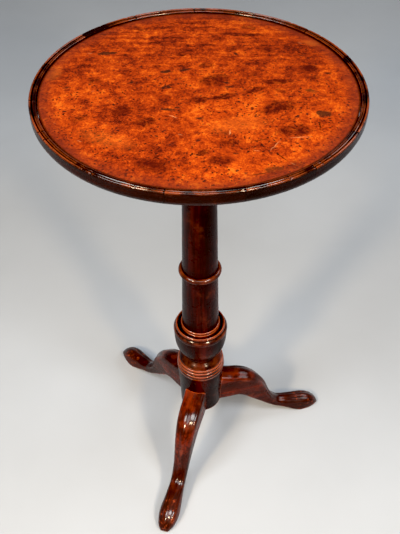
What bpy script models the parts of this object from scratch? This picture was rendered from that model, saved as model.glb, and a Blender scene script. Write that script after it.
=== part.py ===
"""Tilt top wine table: a tripod pillar, a tilting block with wooden trunnions, two bearers that swing
on them, a dished round top with a segmented rim, and a sprung brass catch that holds the top level.

Metres, +Z up. The floor is z = 0 and the front leg points along -Y. Everything hangs from an empty on
the pillar's axis, a little behind the origin, so that the origin is the middle of the whole footprint.
"""

from math import atan2, cos, pi, radians, sin

import bmesh
import bpy
from mathutils import Matrix, Vector

# ---------------------------------------------------------------- driving dimensions
HEIGHT = 0.700
TOP_RADIUS = 0.202
DISH_DEPTH = 0.003
RIM_WIDTH = 0.0095
LEG_REACH = 0.219
GAP = 0.0003

AXIS_Y = (LEG_REACH - TOP_RADIUS) / 2

# the three legs, as angles from +X; the left one was cut a little longer
LEG_ANGLES = {"front": -90.0, "right": 29.8, "left": 147.2}
LEG_STRETCH = {"front": 1.0, "right": 1.0, "left": 1.035}
LEG_SHOULDER = 0.034

# the top: a board, a burr veneer in the dish, and a rim glued round both
BOARD_UNDER = HEIGHT - 0.019
BOARD_THICK = 0.014
DISH_LEVEL = HEIGHT - DISH_DEPTH
DISH_RADIUS = TOP_RADIUS - RIM_WIDTH
RIM_SEGMENTS = 15
RIM_START = 252.0
RIM_STEPS = 4

# the tilting block on the pillar's head, and the pivot that the bearers turn on
BLOCK_TOP = BOARD_UNDER - GAP
BLOCK_DEPTH = 0.036
BLOCK_HALF = 0.050
BLOCK_UNDER = BLOCK_TOP - BLOCK_DEPTH
PIVOT_Y = BLOCK_HALF - BLOCK_DEPTH / 2
PIVOT_Z = BLOCK_TOP - BLOCK_DEPTH / 2
TRUNNION_RADIUS = 0.010
TRUNNION_LENGTH = 0.0235
TENON_RADIUS = 0.0125
WEDGE_THICK = 0.0026
WEDGE_TALL = 0.021

# the bearers under the top
BEARER_INNER = BLOCK_HALF + 0.0005
BEARER_WIDTH = 0.024
BEARER_HALF_LENGTH = 0.150
BEARER_END_DEPTH = 0.014
BEARER_SCREW_YS = (-0.136, -0.030, 0.136)
BEARER_SCREW_LENGTH = 0.0255

# the pillar's foot, the leg joints and the iron plate under them
DRUM_UNDER = 0.0885
KEY_TOP = 0.130
KEY_INNER = 0.018
KEY_HALF_INNER = 0.007
KEY_HALF_OUTER = 0.005
SPIDER_THICK = 0.0022
SPIDER_HUB = 0.026
SPIDER_ARM_HALF = 0.008
SPIDER_ARM_END = 0.050
HUB_SCREW_RADIUS = 0.020
SPIDER_SCREW_LENGTH = 0.018

# the catch: a bolt in a case under the top, thrown into a strike plate on the block's front
BOLT_HALF_WIDTH = 0.006
BOLT_LOW = BLOCK_TOP - 0.0147
BOLT_TALL = 0.006
BOLT_NOSE_Y = -BLOCK_HALF + 0.005
BOLT_BACK_Y = -0.080
ROD_RADIUS = 0.0015
ROD_END_Y = -0.118
CASE_FRONT_Y = -0.060
CASE_CHAMBER_Y = -0.098
CASE_BACK_Y = -0.104
CASE_HALF_WIDTH = 0.010
CASE_TALL = 0.016
CATCH_PLATE_THICK = 0.002
CATCH_PLATE_HALF_WIDTH = 0.022
CATCH_PLATE_YS = (-0.108, -0.056)
CATCH_SCREW_X = 0.016
CATCH_SCREW_YS = (-0.1015, -0.0625)
CATCH_SCREW_LENGTH = 0.0115
SPRING_COIL_RADIUS = 0.0026
SPRING_WIRE_RADIUS = 0.0004
SPRING_TURNS = 7
STRIKE_THICK = 0.002
STRIKE_HALF_WIDTH = 0.020
STRIKE_TALL = 0.022
STRIKE_SCREW_X = 0.0135
STRIKE_SCREW_LENGTH = 0.014
POCKET_DEPTH = 0.007
BOLT_MID_Z = BOLT_LOW + BOLT_TALL / 2

COLLECTION = "tilt_top_table"
ROUND_STEPS = 32
PILLAR_STEPS = 28
SCREW_STEPS = 12


# ---------------------------------------------------------------- scene helpers
def clear_scene():
    """Remove every object, so that a second run starts clean."""
    for thing in list(bpy.data.objects):
        bpy.data.objects.remove(thing, do_unlink=True)


def collection(name):
    """The collection of this name, made and linked once."""
    found = bpy.data.collections.get(name)
    if found is None:
        found = bpy.data.collections.new(name)
        bpy.context.scene.collection.children.link(found)
    return found


def material(name, colour, roughness, metallic=0.0):
    """A Principled material with one colour."""
    made = bpy.data.materials.get(name) or bpy.data.materials.new(name)
    made.use_nodes = True
    shader = made.node_tree.nodes["Principled BSDF"]
    shader.inputs["Base Color"].default_value = (*colour, 1.0)
    shader.inputs["Roughness"].default_value = roughness
    shader.inputs["Metallic"].default_value = metallic
    return made


def mahogany():
    return material("mahogany", (0.13, 0.03, 0.014), 0.3)


def red_mahogany():
    return material("red_mahogany", (0.30, 0.075, 0.025), 0.3)


def burr():
    return material("burr_veneer", (0.50, 0.15, 0.035), 0.2)


def plain_wood():
    return material("secondary_wood", (0.26, 0.13, 0.06), 0.6)


def brass():
    return material("brass", (0.60, 0.40, 0.14), 0.35, 1.0)


def iron():
    return material("wrought_iron", (0.09, 0.08, 0.075), 0.6, 0.9)


def empty(name, location, parent=None):
    """An empty that marks an axis and carries the pieces that move with it."""
    made = bpy.data.objects.new(name, None)
    made.empty_display_size = 0.03
    made.location = location
    made.parent = parent
    collection(COLLECTION).objects.link(made)
    return made


def piece(name, mesh, look, parent, at=(0, 0, 0), turn=(0, 0, 0)):
    """One sub-part, placed in its parent's frame."""
    made = bpy.data.objects.new(name, mesh)
    made.parent = parent
    made.location = Vector(at) - offset_in(parent)
    made.rotation_euler = turn
    collection(COLLECTION).objects.link(made)
    if not mesh.materials:
        mesh.materials.append(look)
    mesh.shade_smooth()
    mesh.set_sharp_from_angle(angle=radians(35))
    return made


def offset_in(parent):
    """Where the parent empty stands from the pillar's axis."""
    offset = Vector((0, 0, 0))
    while parent is not None and parent.parent is not None:
        offset += parent.location
        parent = parent.parent
    return offset


def cutter(name, mesh, at=(0, 0, 0), turn=(0, 0, 0), root=None):
    """A body that only cuts others. It stands in the root's frame."""
    made = bpy.data.objects.new(name, mesh)
    made.parent = root
    made.location = at
    made.rotation_euler = turn
    made.hide_render = True
    made.display_type = "WIRE"
    collection("cutters").objects.link(made)
    return made


def boolean(thing, other, operation="DIFFERENCE"):
    """Cut one body with another, or join it to it."""
    made = thing.modifiers.new(f"{operation.lower()} {other.name}", "BOOLEAN")
    made.operation = operation
    made.solver = "EXACT"
    made.object = other


def baked(thing, name):
    """A mesh with the object's modifiers applied, in its own frame."""
    bpy.context.view_layer.update()
    seen = thing.evaluated_get(bpy.context.evaluated_depsgraph_get())
    mesh = bpy.data.meshes.new_from_object(seen)
    mesh.name = name
    return mesh


# ---------------------------------------------------------------- shapes
def mesh_from(name, build):
    """A mesh that a function fills through bmesh, with its faces pointing out."""
    work = bmesh.new()
    build(work)
    bmesh.ops.recalc_face_normals(work, faces=work.faces)
    mesh = bpy.data.meshes.new(name)
    work.to_mesh(mesh)
    work.free()
    return mesh


def box(name, low, high):
    """A box between two corners."""
    low, high = Vector(low), Vector(high)

    def build(work):
        place = Matrix.LocRotScale((low + high) / 2, None, high - low)
        bmesh.ops.create_cube(work, size=1.0, matrix=place)

    return mesh_from(name, build)


def cylinder(name, radius, low, high, axis="Z", steps=ROUND_STEPS, middle=(0, 0)):
    """A cylinder along X, Y or Z between two stations, about a middle across it."""
    a, b = middle
    centre = (low + high) / 2
    place = {
        "X": Matrix.Translation((centre, a, b)) @ Matrix.Rotation(pi / 2, 4, "Y"),
        "Y": Matrix.Translation((a, centre, b)) @ Matrix.Rotation(pi / 2, 4, "X"),
        "Z": Matrix.Translation((a, b, centre)),
    }[axis]

    def build(work):
        bmesh.ops.create_cone(
            work,
            segments=steps,
            radius1=radius,
            radius2=radius,
            depth=high - low,
            cap_ends=True,
            matrix=place,
        )

    return mesh_from(name, build)


def prism(name, outline, low, high, axis):
    """A closed outline pushed along an axis. The outline's pairs are the other two axes, in order."""
    place = {
        "X": lambda u, v, w: (w, u, v),
        "Y": lambda u, v, w: (u, w, v),
        "Z": lambda u, v, w: (u, v, w),
    }[axis]

    def build(work):
        ends = [[work.verts.new(place(u, v, w)) for u, v in outline] for w in (low, high)]
        work.faces.new(ends[0])
        work.faces.new(ends[1])
        for n in range(len(outline)):
            m = (n + 1) % len(outline)
            work.faces.new((ends[0][n], ends[0][m], ends[1][m], ends[1][n]))

    return mesh_from(name, build)


def turned(name, profile, steps=ROUND_STEPS):
    """A solid turned about Z, from radius and height pairs that run down its outer side."""
    lathe = bpy.data.objects.new(f"{name}_lathe", bpy.data.meshes.new(name))
    lathe.data.from_pydata([(r, 0, z) for r, z in profile], [(n, n + 1) for n in range(len(profile) - 1)], [])
    collection("cutters").objects.link(lathe)
    screw = lathe.modifiers.new("turn", "SCREW")
    screw.steps = screw.render_steps = steps
    screw.use_merge_vertices = True
    screw.merge_threshold = 0.00001
    mesh = baked(lathe, name)
    bpy.data.objects.remove(lathe, do_unlink=True)
    return mesh


def arc(centre, radius, start, end, steps):
    """Points on an arc, angles in degrees from the first axis."""
    a, b = centre
    turns = [radians(start + (end - start) * n / steps) for n in range(steps + 1)]
    return [(a + radius * cos(t), b + radius * sin(t)) for t in turns]


def bead(root, out, top, bottom, steps=5):
    """A half-round bead on a turned profile, from its top down."""
    middle, half = (top + bottom) / 2, (top - bottom) / 2
    turns = [pi / 2 - pi * n / steps for n in range(steps + 1)]
    return [(root + (out - root) * cos(t), middle + half * sin(t)) for t in turns]


def screw_profile(head, shank, length, grow=0.0, above=0.0):
    """A countersunk wood screw, head face at z = 0 and point down. Grown, it is the hole that it sits in."""
    neck = -0.5 * head - grow
    tip = -length - grow
    rise = [(head + grow, above)] if above else []
    return [
        (0, above),
        *rise,
        (head + grow, -0.0001 - grow),
        (shank + grow, neck),
        (shank + grow, tip + 2 * shank),
        (0.3 * shank + grow, tip),
        (0, tip),
    ]


def wood_screw(name, head, shank, length):
    """A screw's mesh, with its slot cut across the head."""
    body = bpy.data.objects.new(f"{name}_blank", turned(name, screw_profile(head, shank, length), SCREW_STEPS))
    slot = box(f"{name}_slot", (-2 * head, -0.12 * head, -0.22 * head), (2 * head, 0.12 * head, head))
    tool = cutter(f"{name}_slot", slot)
    collection("cutters").objects.link(body)
    boolean(body, tool)
    mesh = baked(body, name)
    bpy.data.objects.remove(body, do_unlink=True)
    bpy.data.objects.remove(tool, do_unlink=True)
    return mesh


UPWARD = (pi, 0, 0)
BACKWARD = (pi / 2, 0, 0)


class Screws:
    """Screws of one size: each one drills its hole in the pieces that it holds, then becomes a piece."""

    def __init__(self, family, head, shank, length, look):
        self.family, self.head, self.shank, self.length = family, head, shank, length
        self.look = look
        self.mesh = wood_screw(family, head, shank, length)
        profile = screw_profile(head, shank, length, GAP, above=0.03)
        self.hole = turned(f"{family}_hole", profile, SCREW_STEPS)

    def drive(self, tag, at, turn, parent, through, root):
        """Put one screw at a place, pointing where turn says, through some pieces."""
        drill = cutter(f"{self.family}_{tag}_hole", self.hole, at, turn, root)
        for thing in through:
            boolean(thing, drill)
        return piece(f"{self.family}_{tag}", self.mesh, self.look, parent, at, turn)


# ---------------------------------------------------------------- the stand
def shaft_radius(z):
    """The pillar's straight taper between the lower cup and its head."""
    return 0.0220 + 0.0183 * (0.640 - z)


def drum_outline(grow=0.0):
    """The flared drum that the legs join, from its upper lip down."""
    points = [(0.0374, 0.1762), (0.0372, 0.1650), (0.0363, 0.1510), (0.0354, 0.1350), (0.0345, 0.1170)]
    return [(r + grow, z) for r, z in points] + [(0.0338 + grow, 0.0950), (0.0337 + grow, DRUM_UNDER)]


def pillar_outline():
    """The pillar from the top of its tenon to the middle of its underside."""
    ring = bead(shaft_radius(0.3945), 0.0319, 0.3995, 0.3895, 6)
    cup_rim = [(0.0300, 0.2765), (0.0312, 0.2728), (0.0338, 0.2722), (0.0354, 0.2762), (0.0371, 0.2782)]
    cup_lip = [(0.0388, 0.2768), (0.0393, 0.2732), (0.0412, 0.2712), (0.0421, 0.2690), (0.0421, 0.2662)]
    cup_side = [(0.0416, 0.2652), (0.0413, 0.2540), (0.0405, 0.2440), (0.0390, 0.2350), (0.0366, 0.2280)]
    waist = [(0.0335, 0.2228), (0.0300, 0.2190), (0.0270, 0.2155), (0.0256, 0.2115)]
    dome = [(0.0262, 0.2080), (0.0285, 0.2052), (0.0318, 0.2018), (0.0340, 0.1990), (0.0348, 0.1975)]
    rings = bead(0.0346, 0.0368, 0.1972, 0.1922, 4) + bead(0.0360, 0.0380, 0.1912, 0.1848, 4)
    lip = bead(0.0366, 0.0386, 0.1836, 0.1768, 4)
    return [
        (0, BLOCK_TOP),
        (TENON_RADIUS, BLOCK_TOP),
        (TENON_RADIUS, BLOCK_UNDER - GAP),
        (0.0215, BLOCK_UNDER - GAP),
        (0.0220, 0.6400),
        *ring,
        (shaft_radius(0.284), 0.2840),
        *bead(0.0286, 0.0306, 0.2830, 0.2775, 4),
        *cup_rim,
        *cup_lip,
        *cup_side,
        *waist,
        *dome,
        *rings,
        *lip,
        *drum_outline(),
        (0, DRUM_UNDER),
    ]


def key_outline(grow=0.0, reach=0.040):
    """A leg's dovetail key in plan: wide inside the drum, narrow where it enters the leg."""
    wide, narrow = KEY_HALF_INNER + grow, KEY_HALF_OUTER + grow
    half = [(KEY_INNER - grow, wide), (LEG_SHOULDER, narrow), (reach, narrow)]
    return half + [(x, -y) for x, y in reversed(half)]


def make_pillar(root):
    """The turned pillar, slotted below for the leg keys and above for the wedge."""
    made = piece("pillar", turned("pillar", pillar_outline(), PILLAR_STEPS), mahogany(), root)
    slot = prism("key_slot", key_outline(GAP, 0.060), 0.05, KEY_TOP + GAP, "Z")
    for name, angle in LEG_ANGLES.items():
        boolean(made, cutter(f"{name}_key_slot", slot, (0, 0, 0), (0, 0, radians(angle)), root))
    half = WEDGE_THICK / 2 + GAP
    low = BLOCK_TOP - WEDGE_TALL - GAP
    kerf = box("wedge_kerf", (-half, -0.03, low), (half, 0.03, HEIGHT))
    boolean(made, cutter("wedge_kerf", kerf, root=root))
    return made


def make_wedge(root):
    """The wedge that spreads the tenon in the block."""
    thick = WEDGE_THICK / 2
    sides = [(-0.6 * thick, BLOCK_TOP - WEDGE_TALL), (0.6 * thick, BLOCK_TOP - WEDGE_TALL)]
    outline = sides + [(thick, BLOCK_TOP), (-thick, BLOCK_TOP)]
    mesh = prism("tenon_wedge", outline, -0.0112, 0.0112, "Y")
    return piece("tenon_wedge", mesh, plain_wood(), root)


# a leg's stations from the drum to the toe: upper edge and lower edge as distance and height,
# half width, and how far the crown stands over the upper edges
LEG_STATIONS = [
    ((0.0240, 0.1440), (0.0240, 0.0885), 0.0175, 0.0002),
    ((0.0350, 0.1405), (0.0350, 0.0885), 0.0175, 0.0002),
    ((0.0500, 0.1350), (0.0500, 0.0885), 0.0175, 0.0016),
    ((0.0670, 0.1312), (0.0585, 0.0885), 0.0173, 0.0032),
    ((0.0820, 0.1245), (0.0660, 0.0862), 0.0168, 0.0034),
    ((0.0955, 0.1140), (0.0750, 0.0800), 0.0158, 0.0034),
    ((0.1060, 0.1015), (0.0840, 0.0710), 0.0148, 0.0030),
    ((0.1138, 0.0875), (0.0940, 0.0610), 0.0138, 0.0026),
    ((0.1195, 0.0715), (0.1040, 0.0515), 0.0130, 0.0022),
    ((0.1250, 0.0570), (0.1140, 0.0420), 0.0125, 0.0020),
    ((0.1325, 0.0445), (0.1240, 0.0330), 0.0122, 0.0018),
    ((0.1420, 0.0350), (0.1340, 0.0255), 0.0121, 0.0018),
    ((0.1530, 0.0312), (0.1460, 0.0195), 0.0125, 0.0020),
    ((0.1670, 0.0295), (0.1580, 0.0130), 0.0135, 0.0020),
    ((0.1810, 0.0270), (0.1720, 0.0050), 0.0148, 0.0020),
    ((0.1940, 0.0240), (0.1840, 0.0000), 0.0153, 0.0018),
    ((0.2055, 0.0185), (0.1960, 0.0000), 0.0144, 0.0015),
    ((0.2140, 0.0110), (0.2070, 0.0000), 0.0114, 0.0010),
    ((LEG_REACH - 0.0002, 0.0045), (0.2150, 0.0000), 0.0066, 0.0003),
]


def leg_section(upper, lower, half, crown):
    """One section of a leg: a rounded rectangle with a crowned top, across the line between two edges."""
    upper, lower = Vector(upper), Vector(lower)
    rise = upper - lower
    tall = rise.length
    soft = min(0.0060, 0.42 * half, 0.4 * tall)
    crisp = min(0.0030, 0.3 * tall)
    right = arc((half - crisp, crisp), crisp, -90, 0, 2) + arc((half - soft, tall - soft), soft, 0, 90, 3)
    outline = right + [(0, tall + crown)] + [(-t, h) for t, h in reversed(right)]
    up = rise.normalized()
    return [(lower.x + h * up.x, t, lower.y + h * up.y) for t, h in outline]


def leg_mesh(stretch):
    """A cabriole leg along +X, scribed to the drum, with its dovetail key."""
    longer = Matrix.Translation((LEG_SHOULDER * (1 - stretch), 0, 0)) @ Matrix.Diagonal((stretch, 1, 1, 1))
    rings = [[longer @ Vector(point) for point in leg_section(*station)] for station in LEG_STATIONS]

    def build(work):
        loops = [[work.verts.new(point) for point in ring] for ring in rings]
        for a, b in zip(loops, loops[1:]):
            for n in range(len(a)):
                m = (n + 1) % len(a)
                work.faces.new((a[n], a[m], b[m], b[n]))
        work.faces.new(loops[0])
        work.faces.new(loops[-1])

    blank = bpy.data.objects.new("leg_blank", mesh_from("leg", build))
    collection("cutters").objects.link(blank)
    drum = [(0, 0.20), (0.0386 + GAP, 0.20), *drum_outline(GAP)[:-1], (0.0337 + GAP, 0.05), (0, 0.05)]
    drum_tool = cutter("drum_shoulder", turned("drum_shoulder", drum))
    key = prism("leg_key", key_outline(), DRUM_UNDER + 0.0005, KEY_TOP, "Z")
    key_tool = cutter("leg_key", key)
    boolean(blank, drum_tool)
    boolean(blank, key_tool, "UNION")
    mesh = baked(blank, "leg")
    for thing in (blank, drum_tool, key_tool):
        bpy.data.objects.remove(thing, do_unlink=True)
    return mesh


def make_legs(root):
    """The three legs."""
    made = {}
    for name, angle in LEG_ANGLES.items():
        mesh = leg_mesh(LEG_STRETCH[name])
        made[name] = piece(f"leg_{name}", mesh, red_mahogany(), root, turn=(0, 0, radians(angle)))
    return made


def spider_outline():
    """The iron plate's outline: a hub and a round-ended arm under each leg."""
    points = []
    bite = atan2(SPIDER_ARM_HALF, (SPIDER_HUB**2 - SPIDER_ARM_HALF**2) ** 0.5)
    angles = sorted(radians(angle) for angle in LEG_ANGLES.values())
    for n, here in enumerate(angles):
        turn = Matrix.Rotation(here, 2)
        end = arc((SPIDER_ARM_END, 0), SPIDER_ARM_HALF, -90, 90, 6)
        points += [tuple(turn @ Vector(point)) for point in end]
        after = angles[(n + 1) % 3] + (2 * pi if n == 2 else 0)
        start, stop = here + bite, after - bite
        steps = 5
        hub = [start + (stop - start) * k / steps for k in range(steps + 1)]
        points += [(SPIDER_HUB * cos(t), SPIDER_HUB * sin(t)) for t in hub]
    return points


def make_spider(root, pillar, legs):
    """The three-armed iron plate under the drum, with a screw in each leg and three in the drum."""
    top = DRUM_UNDER - GAP
    under = top - SPIDER_THICK
    plate = piece("spider_plate", prism("spider_plate", spider_outline(), under, top, "Z"), iron(), root)
    screws = Screws("spider_screw", 0.0034, 0.0018, SPIDER_SCREW_LENGTH, iron())
    for name, angle in LEG_ANGLES.items():
        t = radians(angle)
        at = (SPIDER_ARM_END * cos(t), SPIDER_ARM_END * sin(t), under)
        screws.drive(f"leg_{name}", at, UPWARD, root, (plate, legs[name]), root)
        t += pi / 3
        at = (HUB_SCREW_RADIUS * cos(t), HUB_SCREW_RADIUS * sin(t), under)
        screws.drive(f"hub_{name}", at, UPWARD, root, (plate, pillar), root)
    return plate


def make_block(root):
    """The block on the tenon: its upper back edge is rounded about the pivot so that the top swings past."""
    round_back = arc((PIVOT_Y, PIVOT_Z), BLOCK_DEPTH / 2, 90, 0, 8)
    outline = [(-BLOCK_HALF, BLOCK_UNDER), (-BLOCK_HALF, BLOCK_TOP), *round_back, (BLOCK_HALF, BLOCK_UNDER)]
    made = piece("tilt_block", prism("tilt_block", outline, -BLOCK_HALF, BLOCK_HALF, "X"), plain_wood(), root)
    for side, sign in (("left", -1), ("right", 1)):
        ends = sorted((sign * (BLOCK_HALF - 0.004), sign * (BLOCK_HALF + TRUNNION_LENGTH)))
        stub = cylinder(f"trunnion_{side}", TRUNNION_RADIUS, *ends, axis="X", middle=(PIVOT_Y, PIVOT_Z))
        boolean(made, cutter(f"trunnion_{side}", stub, root=root), "UNION")
    socket = cylinder("tenon_hole", TENON_RADIUS + GAP, 0.6, HEIGHT)
    boolean(made, cutter("tenon_hole", socket, root=root))
    half = BOLT_HALF_WIDTH + 0.0005
    low = (-half, -BLOCK_HALF - 0.02, BOLT_LOW - 0.0005)
    high = (half, -BLOCK_HALF + POCKET_DEPTH, BOLT_LOW + BOLT_TALL + 0.0005)
    boolean(made, cutter("strike_pocket", box("strike_pocket", low, high), root=root))
    return made


def make_strike(root, block):
    """The brass plate that the bolt shoots into, with its two screws."""
    face = -BLOCK_HALF - GAP
    low_z = BOLT_MID_Z - STRIKE_TALL / 2
    low = (-STRIKE_HALF_WIDTH, face - STRIKE_THICK, low_z)
    high = (STRIKE_HALF_WIDTH, face, low_z + STRIKE_TALL)
    plate = piece("strike_plate", box("strike_plate", low, high), brass(), root)
    boolean(plate, bpy.data.objects["strike_pocket"])
    screws = Screws("strike_screw", 0.0028, 0.0015, STRIKE_SCREW_LENGTH, brass())
    for tag, x in (("left", -STRIKE_SCREW_X), ("right", STRIKE_SCREW_X)):
        at = (x, face - STRIKE_THICK, BOLT_MID_Z)
        screws.drive(tag, at, BACKWARD, root, (plate, block), root)
    return plate


# ---------------------------------------------------------------- the top
def make_board(tilt):
    """The board under the veneer."""
    mesh = cylinder("top_board", DISH_RADIUS - 0.0007, BOARD_UNDER, BOARD_UNDER + BOARD_THICK, steps=60)
    return piece("top_board", mesh, mahogany(), tilt)


def make_veneer(tilt):
    """The burr veneer that fills the dish."""
    low = BOARD_UNDER + BOARD_THICK + GAP
    mesh = cylinder("top_veneer", DISH_RADIUS - 0.0006, low, DISH_LEVEL, steps=60)
    return piece("top_veneer", mesh, burr(), tilt)


def rim_section():
    """The rim's section: an inner bead over the dish, a quirk, an outer bead, and a side that rounds under."""
    r, z = TOP_RADIUS, HEIGHT
    return [
        (DISH_RADIUS, BOARD_UNDER + 0.0002),
        (DISH_RADIUS, DISH_LEVEL - 0.0005),
        (r - 0.0087, z - 0.0012),
        (r - 0.0070, z - 0.0003),
        (r - 0.0048, z - 0.0010),
        (r - 0.0036, z - 0.0018),
        (r - 0.0030, z - 0.0014),
        (r - 0.0020, z),
        (r - 0.0008, z - 0.0003),
        (r - 0.0001, z - 0.0013),
        (r, z - 0.0030),
        (r - 0.0002, z - 0.0132),
        (r - 0.0020, z - 0.0168),
        (r - 0.0060, z - 0.0188),
    ]


def make_rim(tilt):
    """The rim in equal segments, glued end to end round the top."""
    sweep = 2 * pi / RIM_SEGMENTS - GAP / TOP_RADIUS

    def build(work):
        ring = [work.verts.new((r, 0, z)) for r, z in rim_section()]
        face = work.faces.new(ring)
        bmesh.ops.spin(work, geom=[face], axis=(0, 0, 1), cent=(0, 0, 0), steps=RIM_STEPS, angle=sweep)

    mesh = mesh_from("rim_segment", build)
    for n in range(RIM_SEGMENTS):
        turn = radians(RIM_START) + n * 2 * pi / RIM_SEGMENTS + GAP / TOP_RADIUS / 2
        piece(f"rim_segment_{n + 1:02d}", mesh, mahogany(), tilt, (0, 0, 0), (0, 0, turn))


def bearer_outline():
    """A bearer from the side: full depth over the block, an ogee at each end down to a thin lap."""
    top, low, lap = BLOCK_TOP, BLOCK_UNDER, BLOCK_TOP - BEARER_END_DEPTH
    reach, ogee = BEARER_HALF_LENGTH, 0.110
    hollow = (low + lap) / 2
    swell = 0.011
    under = [(-reach, top), (-reach, lap + 0.002), (-reach + 0.002, lap), (-ogee - swell, lap)]
    under += arc((-ogee - swell, hollow), swell, 90, 0, 4)[1:]
    under += arc((-ogee + swell, hollow), swell, 180, 270, 4)[1:]
    return under + [(-y, z) for y, z in reversed(under)]


def make_bearers(tilt, root, board):
    """The two bearers, bored for the trunnions, each held by three screws."""
    made = {}
    screws = Screws("bearer_screw", 0.0036, 0.0019, BEARER_SCREW_LENGTH, iron())
    head_z = BLOCK_TOP - BEARER_END_DEPTH
    for side, sign in (("left", -1), ("right", 1)):
        ends = sorted((sign * BEARER_INNER, sign * (BEARER_INNER + BEARER_WIDTH)))
        mesh = prism(f"bearer_{side}", bearer_outline(), *ends, "X")
        made[side] = piece(f"bearer_{side}", mesh, plain_wood(), tilt)
        ends = sorted((sign * 0.04, sign * 0.09))
        hole = cylinder(f"{side}_bore", TRUNNION_RADIUS + GAP, *ends, axis="X", middle=(PIVOT_Y, PIVOT_Z))
        boolean(made[side], cutter(f"{side}_bore", hole, root=root))
        x = sign * (BEARER_INNER + BEARER_WIDTH / 2)
        for n, y in enumerate(BEARER_SCREW_YS, 1):
            screws.drive(f"{side}_{n}", (x, y, head_z), UPWARD, tilt, (made[side], board), root)
    return made


# ---------------------------------------------------------------- the catch
def make_catch_fixed(tilt, root, board):
    """The catch's plate and case under the top, with four screws."""
    plate_low = BLOCK_TOP - CATCH_PLATE_THICK
    low = (-CATCH_PLATE_HALF_WIDTH, CATCH_PLATE_YS[0], plate_low)
    high = (CATCH_PLATE_HALF_WIDTH, CATCH_PLATE_YS[1], BLOCK_TOP)
    plate = piece("catch_plate", box("catch_plate", low, high), brass(), tilt)
    case_top = plate_low - GAP
    low = (-CASE_HALF_WIDTH, CASE_BACK_Y, case_top - CASE_TALL)
    case = piece("catch_case", box("catch_case", low, (CASE_HALF_WIDTH, CASE_FRONT_Y, case_top)), brass(), tilt)
    half = BOLT_HALF_WIDTH + 0.0004
    low = (-half, CASE_CHAMBER_Y, BOLT_LOW - 0.0004)
    high = (half, CASE_FRONT_Y + 0.01, BOLT_LOW + BOLT_TALL + 0.0004)
    boolean(case, cutter("bolt_chamber", box("bolt_chamber", low, high), root=root))
    ends = (CASE_BACK_Y - 0.01, CASE_CHAMBER_Y + 0.01)
    rod_hole = cylinder("rod_hole", ROD_RADIUS + 0.0004, *ends, "Y", 16, (0, BOLT_MID_Z))
    boolean(case, cutter("rod_hole", rod_hole, root=root))
    screws = Screws("catch_screw", 0.0028, 0.0015, CATCH_SCREW_LENGTH, brass())
    for n, y in enumerate(CATCH_SCREW_YS, 1):
        for side, x in (("left", -CATCH_SCREW_X), ("right", CATCH_SCREW_X)):
            screws.drive(f"{side}_{n}", (x, y, plate_low), UPWARD, tilt, (plate, board), root)


def spring_points():
    """The coil's centre line along Y: open turns between the case's end wall and the bolt's shoulder."""
    room = SPRING_WIRE_RADIUS + GAP
    start, end = CASE_CHAMBER_Y + room, BOLT_BACK_Y - room
    steps = 8 * SPRING_TURNS
    for n in range(steps + 1):
        t = 2 * pi * SPRING_TURNS * n / steps
        y = start + (end - start) * n / steps
        yield (SPRING_COIL_RADIUS * cos(t), y, BOLT_MID_Z + SPRING_COIL_RADIUS * sin(t))


def make_spring(tilt):
    """The coil spring round the bolt's tail rod."""
    points = list(spring_points())
    curve = bpy.data.curves.new("catch_spring", "CURVE")
    curve.dimensions = "3D"
    curve.bevel_depth = SPRING_WIRE_RADIUS
    curve.bevel_resolution = 1
    curve.use_fill_caps = True
    line = curve.splines.new("POLY")
    line.points.add(len(points) - 1)
    for spot, point in zip(line.points, points):
        spot.co = (*point, 1)
    wire = bpy.data.objects.new("spring_wire", curve)
    collection("cutters").objects.link(wire)
    mesh = baked(wire, "catch_spring")
    bpy.data.objects.remove(wire, do_unlink=True)
    work = bmesh.new()
    work.from_mesh(mesh)
    bmesh.ops.remove_doubles(work, verts=work.verts, dist=0.00001)
    bmesh.ops.recalc_face_normals(work, faces=work.faces)
    work.to_mesh(mesh)
    work.free()
    return piece("catch_spring", mesh, iron(), tilt)


def make_bolt(slide, root):
    """The bolt: a bar with a nose bevelled below, and the rod that its knob is on."""
    low, high = BOLT_LOW, BOLT_LOW + BOLT_TALL
    nose = BOLT_NOSE_Y
    outline = [(BOLT_BACK_Y, low), (BOLT_BACK_Y, high), (nose - 0.0005, high), (nose, high - 0.0005)]
    outline += [(nose, low + 0.0035), (nose - 0.0035, low)]
    mesh = prism("catch_bolt", outline, -BOLT_HALF_WIDTH, BOLT_HALF_WIDTH, "X")
    made = piece("catch_bolt", mesh, brass(), slide)
    rod = cylinder("tail_rod", ROD_RADIUS, ROD_END_Y, BOLT_BACK_Y + 0.003, "Y", 16, (0, BOLT_MID_Z))
    boolean(made, cutter("tail_rod", rod, root=root), "UNION")


def make_knob(slide):
    """The turned knob on the end of the rod, bored for it."""
    length, stem = 0.0135, 0.0028
    top = 0.0055
    profile = [(0, length), (0.6 * top, length - 0.0004), (top, length - 0.0028), (top, length - 0.0050)]
    profile += [(0.7 * top, length - 0.0072), (stem, length - 0.0085), (stem, 0.0010), (stem + 0.0012, 0.0)]
    bore = ROD_RADIUS + GAP
    depth = 0.0060
    profile += [(bore, 0.0), (bore, depth), (0, depth)]
    mesh = turned("catch_knob", profile, 20)
    start = ROD_END_Y + depth - GAP
    return piece("catch_knob", mesh, brass(), slide, (0, start, BOLT_MID_Z), (pi / 2, 0, 0))


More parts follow.
